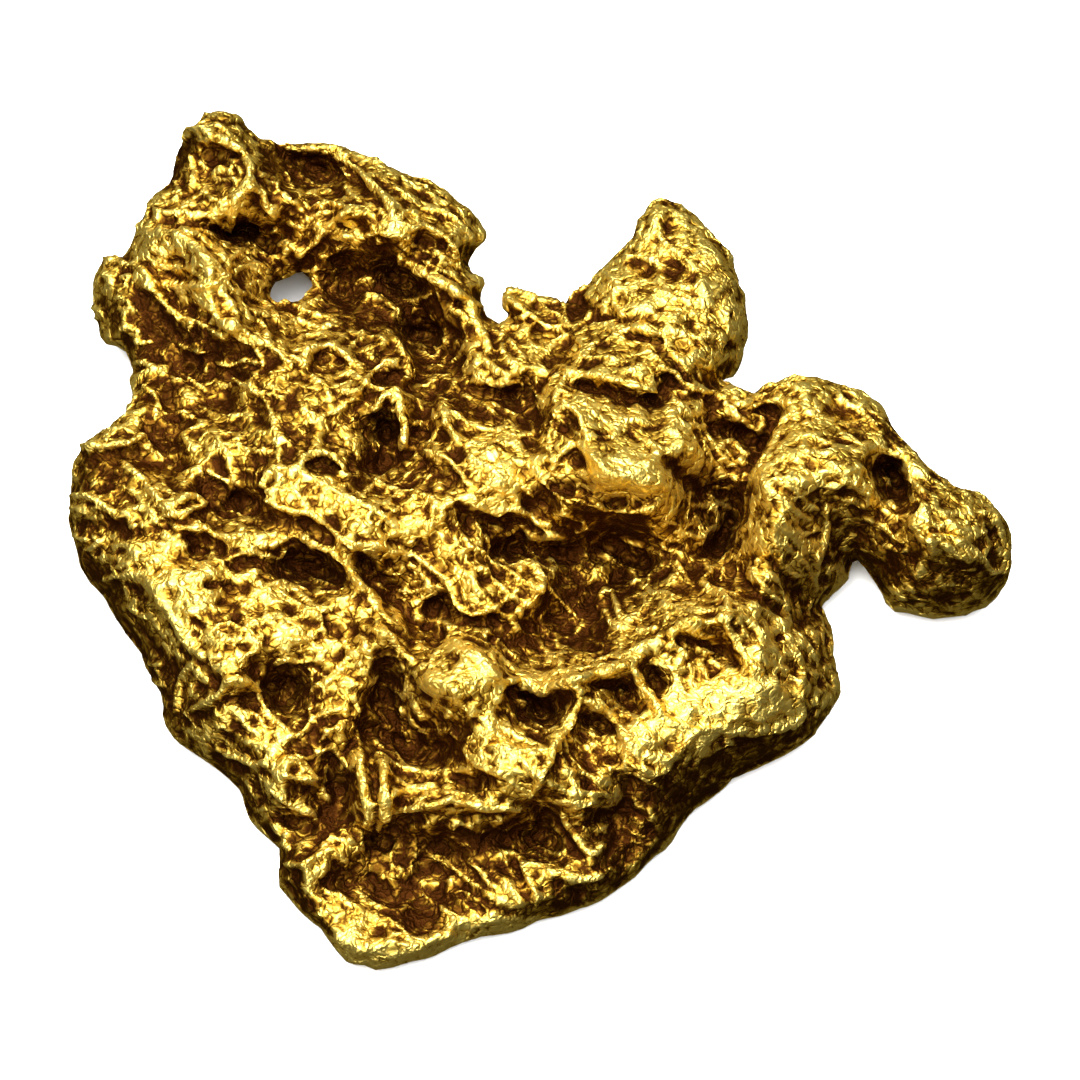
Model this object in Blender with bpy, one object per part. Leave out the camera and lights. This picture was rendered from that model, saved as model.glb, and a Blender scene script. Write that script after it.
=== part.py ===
"""A gold nugget: one flat, water-worn lump of native gold with a torn and crumpled top.

The relief is laid out on a sheet, as seen from one station above the near side. A point of the sheet is
(across, up) in millimetres, and each is raised to its height above the table along its own line of sight,
so a ledge can overhang the hollow in front of it.
"""

import math

import bpy
import numpy as np
from mathutils import Vector, geometry, noise

MM = 0.001

# The station that the sheet is drawn from, and the level that the sheet lies at.
STATION_ELEVATION = math.radians(60)
STATION_DISTANCE = 220.0
SHEET_LEVEL = 2.5

# How finely the solid is faceted, as the space between its corners on the sheet.
RIM_STEP = 0.46
TOP_STEP = 0.42
FEATURE_STEP = 0.34
BASE_STEP = 0.8
LONGEST_EDGE = 0.90
REFINING_PASSES = 1
CORNER_PASSES = 4
# The least space between the corners along features and over the top, and how loosely they are scattered.
FEATURE_SPACE = 0.21
TOP_SPACE = 0.34
SCATTER = 0.16
TOP_SEED = 5
BASE_SEED = 6
SHEET_ACROSS = (-14.0, 14.0)
SHEET_UP = (-12.5, 13.0)

# The worn edge: how steeply the top climbs from the rim and the underside falls from it, once past a
# round shoulder of this depth and height.
NEAR_WALL = 1.6
FAR_SHOULDER = 0.7
FAR_WALL = 1.5
SIDE_WALL = 1.8
NEAR_UNDERCUT = 0.9
SHOULDER_DEPTH = 0.7
SHOULDER_HEIGHT = 0.5
EDGE_ROUNDING = 0.35
LEAST_THICKNESS = 0.45
RIM_THINNING = 0.3

# The rim, clockwise from the knob at the far left: across, up, height above the table.
RIM = [
    (-10.38, 11.13, 2.6), (-10.27, 11.44, 3.0), (-9.98, 11.94, 3.4), (-9.6, 12.22, 3.6),
    (-9.1, 12.35, 3.6), (-8.6, 12.19, 3.4), (-8.35, 11.8, 3.2), (-8.0, 11.5, 3.1),
    # far edge of the left plate
    (-7.1, 11.38, 3.2), (-6.2, 11.27, 3.3), (-5.45, 11.15, 3.4), (-4.6, 10.85, 3.4),
    (-3.9, 10.54, 3.4), (-3.0, 10.16, 3.3), (-2.3, 9.65, 3.0), (-1.75, 9.1, 2.8),
    (-1.55, 8.55, 2.7), (-1.87, 8.16, 2.4), (-2.02, 7.7, 2.3), (-1.55, 7.3, 2.4),
    (-1.65, 6.9, 2.4), (-1.55, 6.3, 2.5), (-1.1, 6.07, 2.6),
    # crumbs between the two plates
    (-0.9, 6.25, 2.7), (-0.98, 6.8, 2.8), (-0.88, 7.12, 2.8), (-0.46, 7.04, 2.8),
    (-0.15, 6.83, 2.8), (0.5, 6.82, 2.8), (0.65, 6.7, 2.8), (0.85, 7.02, 2.8), (1.25, 7.27, 2.8),
    # the fin
    (1.85, 7.85, 2.9), (2.35, 8.3, 3.0), (2.65, 8.7, 3.1), (2.85, 9.2, 3.2), (3.1, 9.62, 3.3),
    (3.4, 9.77, 3.3), (4.0, 9.55, 3.3), (4.75, 9.0, 3.2), (5.4, 8.2, 3.1), (5.75, 7.2, 3.0),
    (5.93, 6.2, 2.8), (5.93, 5.6, 2.6), (5.72, 5.1, 2.4), (5.6, 4.8, 2.3), (5.4, 4.58, 2.4),
    (5.02, 4.44, 2.8),
    # far shoulder of the right body
    (5.4, 4.33, 3.0), (5.95, 4.15, 3.1), (6.5, 4.35, 3.2), (7.1, 4.56, 3.4), (7.5, 4.64, 3.5),
    (8.4, 4.43, 3.4), (9.1, 4.09, 3.3), (9.7, 3.65, 3.2), (9.98, 3.09, 3.2),
    # the arm and its knob
    (10.45, 2.59, 3.3), (10.95, 2.0, 3.3), (11.6, 1.48, 3.2), (12.33, 1.24, 3.0),
    (12.8, 0.75, 2.7), (13.05, 0.1, 2.2), (13.1, -0.6, 1.6), (12.95, -1.22, 1.1),
    (12.5, -1.75, 0.8), (11.7, -2.1, 0.6), (10.8, -2.12, 0.5), (9.85, -1.95, 0.5),
    (9.55, -1.75, 0.6), (9.3, -1.2, 0.7), (8.95, -0.78, 0.9), (8.69, -0.5, 1.0),
    # the near right lobe
    (8.58, -0.78, 1.0), (8.5, -1.05, 0.9), (8.1, -1.45, 0.8), (7.79, -1.94, 0.7),
    (8.05, -2.45, 0.7), (8.1, -3.1, 0.7), (8.28, -3.7, 0.7), (8.26, -4.15, 0.7),
    (7.95, -4.75, 0.7), (7.6, -5.35, 0.7), (7.0, -5.75, 0.7), (6.1, -6.16, 0.6),
    (5.6, -6.36, 0.6), (4.9, -6.87, 0.5), (4.1, -7.48, 0.5), (3.6, -8.1, 0.5),
    (2.95, -8.8, 0.45), (2.3, -9.35, 0.45), (1.7, -9.75, 0.45), (0.75, -10.05, 0.45),
    # the near tip
    (0.1, -10.25, 0.4), (-0.5, -10.45, 0.4), (-1.3, -10.78, 0.4), (-2.1, -10.92, 0.4),
    (-2.9, -11.25, 0.4), (-3.7, -11.52, 0.4), (-4.4, -11.58, 0.4), (-5.0, -11.45, 0.4),
    (-5.5, -11.1, 0.45), (-6.0, -10.55, 0.5), (-6.65, -9.92, 0.5), (-7.05, -9.35, 0.5),
    (-7.12, -8.75, 0.5), (-7.18, -8.35, 0.5), (-7.65, -7.88, 0.5), (-8.05, -7.35, 0.5),
    (-8.4, -6.65, 0.55), (-8.75, -6.25, 0.6), (-9.3, -6.02, 0.6), (-9.85, -5.62, 0.6),
    # the long left wall
    (-10.25, -5.05, 0.65), (-10.38, -4.55, 0.7), (-10.7, -3.8, 0.7), (-11.1, -3.0, 0.8),
    (-11.8, -2.2, 0.8), (-12.1, -1.65, 0.9), (-12.6, -0.92, 1.0), (-12.95, -0.3, 1.1),
    (-13.13, 0.5, 1.3), (-13.15, 1.1, 1.5), (-13.0, 1.9, 1.8), (-12.83, 2.6, 2.2),
    (-12.3, 3.07, 2.6), (-11.75, 3.5, 2.6), (-11.48, 3.9, 2.2), (-11.42, 4.15, 1.9),
    (-11.54, 4.5, 1.7), (-11.4, 4.87, 1.6), (-11.6, 5.15, 1.4), (-11.75, 5.34, 1.2),
    # the stub above the waist
    (-12.2, 5.42, 1.0), (-12.45, 5.68, 1.0), (-12.58, 6.2, 1.1), (-12.7, 6.9, 1.4),
    (-12.62, 7.55, 1.8), (-12.33, 7.93, 2.1), (-11.85, 8.05, 2.4), (-11.55, 8.55, 2.6),
    (-11.38, 9.1, 2.8), (-11.15, 9.65, 2.8), (-10.78, 10.05, 2.6), (-10.56, 10.28, 2.4),
    (-10.52, 10.7, 2.3),
]

# The small hole right through the far left plate.
HOLE = [
    (-7.63, 6.88, 2.0), (-7.57, 7.1, 2.0), (-7.32, 7.32, 1.9), (-7.04, 7.41, 1.9),
    (-6.85, 7.57, 1.9), (-6.66, 7.52, 2.0), (-6.54, 7.26, 2.1), (-6.66, 7.04, 2.2),
    (-6.82, 6.76, 2.3), (-7.04, 6.69, 2.3), (-7.27, 6.79, 2.2), (-7.5, 6.7, 2.1),
]

# How high the top stands at chosen spots, before its ridges and pits.
TOP_SPOTS = [
    # knob and far left plate
    (-9.3, 11.5, 4.2), (-9.2, 10.7, 3.7), (-9.6, 9.7, 4.0), (-8.3, 9.8, 4.2), (-7.0, 10.8, 2.9),
    (-6.2, 10.3, 2.8), (-6.6, 9.6, 3.6), (-5.5, 8.9, 4.7), (-4.6, 10.2, 4.1), (-3.2, 9.6, 3.9),
    (-2.4, 8.9, 4.1), (-3.9, 8.8, 4.5), (-10.3, 10.3, 3.2), (-10.9, 9.5, 3.4),
    # round the hole, and the dark hollow right of it
    (-8.6, 8.6, 2.4), (-7.6, 8.3, 2.3), (-7.9, 7.3, 2.9), (-7.1, 6.2, 2.9), (-5.6, 7.6, 2.2),
    (-4.6, 7.0, 2.4), (-4.0, 7.5, 2.1), (-6.0, 6.5, 2.5), (-3.3, 6.3, 2.2), (-3.0, 5.5, 2.0),
    (-5.5, 5.9, 3.0),
    # left slab and stub
    (-11.1, 8.5, 3.8), (-10.0, 7.6, 4.1), (-9.1, 6.4, 4.3), (-9.3, 8.0, 4.4), (-8.1, 5.6, 3.9),
    (-12.2, 7.1, 2.5), (-11.4, 6.6, 2.6), (-11.8, 5.8, 2.2), (-10.3, 5.6, 2.5), (-11.0, 4.6, 2.6),
    # middle left, a rough terrace
    (-9.4, 4.8, 2.7), (-8.4, 5.0, 3.4), (-10.4, 3.9, 2.8), (-7.8, 4.2, 3.9), (-8.8, 3.6, 3.2),
    (-6.6, 3.2, 4.3), (-7.6, 2.8, 4.1), (-9.0, 2.6, 3.8), (-12.0, 3.1, 3.4), (-11.0, 2.4, 3.0),
    (-12.4, 1.4, 2.9), (-11.2, 1.3, 3.3), (-10.0, 1.1, 3.9), (-8.8, 1.9, 3.8), (-7.0, 1.5, 4.4),
    (-5.8, 1.3, 4.6), (-5.4, 3.0, 3.9), (-5.6, 4.4, 4.1), (-4.4, 4.9, 3.6), (-4.3, 3.3, 3.5),
    (-4.4, 2.0, 3.4), (-4.0, 0.8, 4.3), (-2.8, 0.3, 4.2), (-5.2, 0.0, 4.4),
    # the ridge and ledges right of it
    (-2.9, 4.4, 3.0), (-2.4, 7.2, 4.2), (-1.8, 6.2, 4.3), (-1.3, 5.2, 4.2), (-0.6, 4.7, 4.0),
    (-2.2, 3.4, 4.0), (-1.2, 2.9, 4.4), (-2.0, 2.2, 4.6), (-1.0, 1.5, 4.8), (-0.1, 3.0, 4.1),
    (-0.3, 6.0, 3.4), (0.5, 5.9, 3.3), (-0.2, 4.0, 3.6), (0.2, 0.9, 4.0),
    # nose
    (0.5, 3.4, 5.0), (1.2, 2.9, 5.5), (0.8, 1.9, 5.4), (1.9, 1.6, 6.0), (3.0, 1.5, 5.9),
    (2.6, 2.8, 5.3), (2.0, 4.9, 4.7), (3.6, 3.4, 4.9), (4.2, 2.7, 4.7), (1.2, 5.2, 4.2),
    # fin
    (1.4, 6.8, 3.5), (2.3, 7.3, 4.1), (3.4, 9.0, 3.8), (4.4, 7.6, 4.3), (5.3, 6.2, 4.1),
    (3.0, 6.1, 4.4), (4.5, 5.1, 4.3), (5.4, 4.1, 4.0), (3.4, 7.6, 4.1),
    # valley
    (5.4, 2.6, 3.3), (4.9, 1.5, 3.0), (5.3, 0.5, 2.3), (4.3, 0.2, 2.9), (3.2, -0.2, 2.6),
    (2.0, 0.2, 2.5), (0.9, -0.6, 2.4), (-0.6, -0.4, 2.6), (0.2, -2.2, 2.4), (1.6, -1.8, 2.2),
    (3.1, -1.3, 2.5), (4.6, -1.2, 2.8), (1.0, -3.1, 2.9), (-0.8, -3.0, 3.0), (3.0, -2.2, 3.2),
    # right body and arm
    (7.2, 3.8, 4.2), (8.8, 3.7, 4.0), (8.3, 2.9, 4.5), (7.0, 2.2, 5.4), (8.6, 2.1, 5.1),
    (7.6, 1.0, 5.3), (6.4, 0.6, 5.1), (7.3, -0.2, 5.0), (6.0, 1.8, 4.8), (8.6, 0.6, 4.3),
    (6.3, -1.0, 3.8), (7.3, -1.6, 3.4), (9.8, 1.6, 3.0), (10.4, 2.1, 4.3), (11.4, 0.9, 4.4),
    (12.5, 0.3, 3.8), (10.6, 0.7, 4.5), (9.1, 1.5, 4.5), (9.4, 3.0, 4.2),
    # near right lobe
    (1.9, -3.6, 4.0), (4.3, -2.4, 4.4), (5.8, -2.1, 4.4), (7.0, -3.1, 4.1), (4.0, -4.2, 3.9),
    (5.6, -4.4, 3.9), (3.0, -5.6, 3.8), (6.8, -4.6, 3.5), (4.8, -3.2, 3.6), (2.2, -4.3, 3.2),
    (7.8, -3.2, 2.6),
    # hump and the bright slope right of it
    (-2.7, -3.8, 5.0), (-1.5, -3.6, 4.6), (-1.4, -4.6, 4.6), (-1.3, -5.6, 4.4), (-0.4, -5.6, 4.1),
    (0.0, -4.6, 3.0), (-0.4, -6.6, 3.9), (1.4, -5.7, 3.4), (1.0, -6.7, 3.5), (0.7, -4.1, 4.0),
    # near left terrace
    (-2.0, -1.4, 4.0), (-0.3, -1.2, 3.6), (-3.9, -1.1, 3.0), (-2.9, -2.3, 2.6), (-6.2, -0.8, 3.0),
    (-7.8, -0.2, 4.0), (-9.4, 0.1, 3.7), (-11.3, -0.5, 3.5), (-12.3, 0.0, 2.8), (-10.0, -1.8, 4.2),
    (-9.0, -2.4, 4.0), (-7.4, -1.6, 3.8), (-6.0, -1.7, 4.0), (-7.0, -2.8, 4.0), (-5.6, -2.5, 3.7),
    (-5.3, -3.7, 3.8), (-4.3, -2.6, 4.3), (-9.4, -4.2, 3.5), (-8.1, -3.9, 3.7), (-8.3, -5.4, 3.2),
    (-6.7, -5.3, 3.3), (-5.5, -4.7, 3.5), (-4.2, -4.2, 2.9), (-7.1, -4.2, 2.9),
    # near tiers, down to the tip
    (-3.4, -5.7, 2.2), (-3.0, -6.4, 2.6), (-2.8, -7.1, 3.2), (-1.3, -7.2, 3.3), (-4.5, -6.7, 3.0),
    (-5.6, -6.7, 2.3), (-7.0, -6.9, 2.6), (-6.6, -7.8, 1.6), (-6.2, -8.6, 1.8), (-4.6, -8.5, 1.4),
    (-2.8, -8.5, 1.2), (-3.4, -9.6, 1.1), (-1.8, -9.4, 1.3), (-3.7, -10.9, 1.2), (-0.6, -9.2, 1.6),
    (0.9, -9.0, 1.6), (0.9, -7.9, 2.0), (-0.4, -8.1, 1.5), (2.7, -7.6, 1.9), (2.6, -8.5, 1.3),
]

# Raised lines: height, half-width, then the line along the crest.
RIDGES = [
    # curl on the knob, and the collar that it runs into
    (0.4, 0.32, [(-10.2, 11.5), (-9.8, 11.75), (-9.3, 11.6), (-8.8, 11.4), (-8.45, 11.05), (-8.25, 10.6)]),
    (0.35, 0.30, [(-8.25, 10.6), (-8.35, 10.1), (-7.95, 9.85), (-7.7, 9.4)]),
    (0.25, 0.28, [(-8.5, 10.0), (-8.65, 9.5), (-8.9, 9.0)]),
    (0.2, 0.32, [(-10.4, 9.3), (-9.9, 9.35), (-9.2, 9.3)]),
    # far left plate
    (0.3, 0.25, [(-8.0, 10.4), (-7.6, 10.3), (-7.4, 9.9), (-7.1, 9.6)]),
    (0.4, 0.28, [(-5.9, 11.0), (-5.4, 10.65), (-4.9, 10.35), (-4.5, 9.95), (-4.25, 9.3)]),
    (0.35, 0.36, [(-6.9, 8.2), (-6.3, 8.65), (-5.8, 9.1), (-5.3, 8.95)]),
    (0.3, 0.30, [(-5.0, 8.7), (-4.2, 8.8), (-3.3, 8.85), (-2.7, 8.5), (-2.4, 7.9)]),
    (0.55, 0.38, [(-4.0, 8.1), (-3.3, 7.7), (-2.6, 7.25), (-2.1, 6.8), (-1.8, 6.1), (-1.4, 5.4),
                  (-0.9, 4.9)]),
    # left slab
    (0.3, 0.28, [(-11.2, 8.7), (-10.2, 8.65), (-9.8, 8.3), (-9.25, 7.9), (-8.95, 7.5)]),
    (0.3, 0.28, [(-8.95, 7.1), (-8.7, 6.6), (-8.55, 6.2), (-8.8, 5.9)]),
    (0.3, 0.25, [(-8.7, 6.0), (-8.2, 5.65), (-7.6, 5.5), (-7.1, 5.0)]),
    (0.25, 0.28, [(-11.9, 7.0), (-11.5, 6.5)]),
    (0.25, 0.28, [(-11.8, 6.1), (-11.3, 5.7)]),
    # arches of the middle left
    (0.35, 0.25, [(-6.6, 5.2), (-6.2, 5.5), (-5.75, 5.5), (-5.3, 5.2)]),
    (0.5, 0.25, [(-4.6, 5.5), (-4.2, 5.65), (-3.9, 5.3), (-3.75, 4.7)]),
    (0.35, 0.25, [(-5.1, 4.2), (-4.6, 4.6), (-4.1, 5.05)]),
    (0.6, 0.25, [(-4.5, 3.6), (-4.25, 4.15), (-3.95, 3.85), (-3.75, 3.2), (-3.8, 2.7)]),
    (0.35, 0.32, [(-2.75, 3.8), (-2.6, 3.3), (-2.4, 2.9)]),
    (0.3, 0.25, [(-6.6, 2.15), (-6.2, 2.45), (-5.8, 2.35), (-5.2, 1.95)]),
    (0.25, 0.26, [(-7.9, 1.5), (-7.6, 1.95), (-7.15, 1.95), (-7.1, 1.5), (-7.6, 1.3)]),
    (0.35, 0.36, [(-10.4, 0.8), (-10.0, 1.2), (-9.5, 1.15)]),
    (0.3, 0.28, [(-10.0, 0.35), (-9.4, 0.3), (-8.7, 0.05)]),
    (0.3, 0.28, [(-12.7, 2.65), (-12.0, 2.6), (-11.2, 2.8)]),
    (0.25, 0.28, [(-12.9, 1.2), (-12.3, 1.0), (-11.6, 0.65)]),
    (0.25, 0.28, [(-11.5, 2.0), (-11.0, 1.6), (-10.6, 1.05)]),
    # ledge rims of the middle
    (0.3, 0.28, [(-7.5, 1.0), (-6.7, 0.8), (-6.1, 0.55), (-5.7, 0.1), (-5.2, -0.2)]),
    (0.35, 0.30, [(-6.5, 0.0), (-5.7, -0.4), (-5.4, -0.8), (-5.1, -1.3)]),
    (0.25, 0.26, [(-3.1, 2.4), (-2.7, 2.4), (-2.3, 1.9), (-2.0, 1.5)]),
    (0.25, 0.28, [(-1.9, 1.05), (-1.2, 0.9), (-0.6, 0.95), (0.1, 0.5)]),
    (0.3, 0.25, [(-0.5, 0.4), (-0.1, 0.15), (0.6, 0.1), (1.2, 0.3)]),
    (0.3, 0.28, [(-4.6, -0.15), (-3.9, -0.35), (-3.2, -0.65), (-2.7, -1.1), (-2.2, -1.8), (-1.4, -1.9)]),
    (0.35, 0.28, [(-0.6, -0.8), (-0.2, -0.75), (0.0, -1.3)]),
    # nose
    (0.25, 0.30, [(0.25, 3.3), (0.35, 2.3)]),
    (0.3, 0.30, [(0.5, 3.6), (0.9, 3.75), (1.3, 3.2), (1.3, 2.7), (1.9, 1.8)]),
    (0.25, 0.30, [(0.4, 4.0), (0.8, 4.6), (1.5, 4.65), (2.2, 4.4), (3.1, 4.4)]),
    (0.3, 0.28, [(3.0, 4.85), (3.6, 4.8), (4.2, 4.3), (5.0, 4.1), (5.3, 3.7)]),
    (0.3, 0.42, [(3.9, 2.9), (4.3, 2.5)]),
    # fin
    (0.2, 0.30, [(0.9, 5.3), (1.6, 5.9), (2.5, 6.1), (3.6, 5.9)]),
    (0.2, 0.30, [(1.5, 7.3), (2.2, 7.6), (2.8, 8.3), (3.3, 9.3)]),
    # right body
    (0.3, 0.32, [(6.9, 3.4), (6.5, 2.6), (5.95, 1.8), (5.85, 0.9), (5.6, 0.1)]),
    (0.3, 0.32, [(7.9, 1.0), (7.9, 0.2), (7.6, -0.9)]),
    (0.3, 0.32, [(6.2, -0.2), (7.0, -0.3), (7.6, -1.0)]),
    (0.25, 0.30, [(5.9, -1.0), (6.4, -1.5), (6.9, -2.0)]),
    # arm
    (0.3, 0.25, [(9.0, 2.3), (9.15, 1.6), (9.2, 0.95)]),
    (0.3, 0.30, [(9.6, 2.7), (10.2, 2.1), (10.6, 1.4)]),
    (0.25, 0.36, [(10.7, 0.9), (10.5, 0.35)]),
    (0.4, 0.30, [(12.3, 0.85), (12.75, 0.35), (12.85, -0.4), (12.6, -0.85)]),
    (0.35, 0.28, [(11.6, 0.0), (12.1, -0.4), (12.6, -0.85)]),
    (0.25, 0.28, [(9.6, -0.15), (10.2, -0.3)]),
    # long bright rim of the valley and its branch
    (0.5, 0.34, [(-2.4, -2.9), (-1.7, -3.3), (-1.0, -3.95), (0.3, -4.05), (1.2, -3.8), (2.4, -3.5),
                 (3.1, -2.95), (4.2, -2.3), (5.2, -2.1), (6.2, -2.1)]),
    (0.4, 0.30, [(1.0, -4.0), (0.9, -4.7), (0.4, -5.6), (-0.1, -6.5)]),
    (0.35, 0.28, [(1.1, -4.4), (2.0, -4.75), (2.4, -5.4)]),
    (0.35, 0.28, [(2.6, -3.6), (3.0, -4.3), (3.3, -4.7)]),
    (0.25, 0.30, [(5.1, -2.2), (5.5, -3.0), (5.9, -3.5)]),
    (0.35, 0.32, [(6.6, -2.5), (7.1, -3.1), (7.3, -3.9), (7.1, -4.6)]),
    # valley floor
    (0.35, 0.28, [(4.6, -0.9), (4.7, -1.3), (5.1, -1.7)]),
    (0.3, 0.28, [(2.0, -1.6), (2.2, -2.2)]),
    (0.3, 0.30, [(1.4, -1.0), (1.7, -0.8)]),
    (0.25, 0.28, [(4.0, 0.1), (4.5, 0.15), (5.0, 0.45)]),
    # near left terrace
    (0.3, 0.36, [(-5.2, -1.3), (-4.6, -1.8), (-4.2, -2.5), (-3.6, -3.1), (-2.8, -3.0)]),
    (0.3, 0.30, [(-10.0, -4.6), (-9.95, -3.8), (-9.6, -3.4)]),
    (0.3, 0.26, [(-9.6, -4.7), (-8.9, -4.3), (-8.5, -3.8), (-7.8, -4.0), (-7.5, -4.6), (-7.0, -5.1)]),
    (0.25, 0.32, [(-11.5, -1.8), (-10.9, -2.2)]),
    # near tiers
    (0.5, 0.22, [(-4.95, -5.8), (-4.8, -6.8), (-4.65, -7.6)]),
    (0.5, 0.22, [(-4.3, -6.0), (-4.25, -6.8), (-4.35, -7.5)]),
    (0.3, 0.30, [(-4.2, -7.3), (-3.0, -7.2), (-1.9, -7.1), (-0.6, -7.35)]),
    (0.35, 0.28, [(-7.6, -6.5), (-7.0, -7.0), (-6.3, -7.45)]),
    (0.25, 0.28, [(-7.0, -6.4), (-6.1, -6.6)]),
    (0.3, 0.32, [(-6.7, -8.9), (-6.0, -8.55), (-5.2, -8.4)]),
    (0.3, 0.28, [(0.3, -6.7), (1.0, -6.9), (1.9, -7.0)]),
    (0.3, 0.32, [(0.2, -9.05), (1.7, -9.1)]),
    (0.3, 0.26, [(-0.3, -8.8), (-0.2, -9.3), (0.0, -9.7)]),
    (0.25, 0.26, [(-1.1, -9.3), (-0.5, -9.8)]),
    (0.3, 0.28, [(0.9, -8.1), (1.3, -8.5), (1.8, -8.4)]),
    (0.3, 0.34, [(-4.8, -11.1), (-3.6, -11.0), (-2.5, -10.7)]),
]

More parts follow.
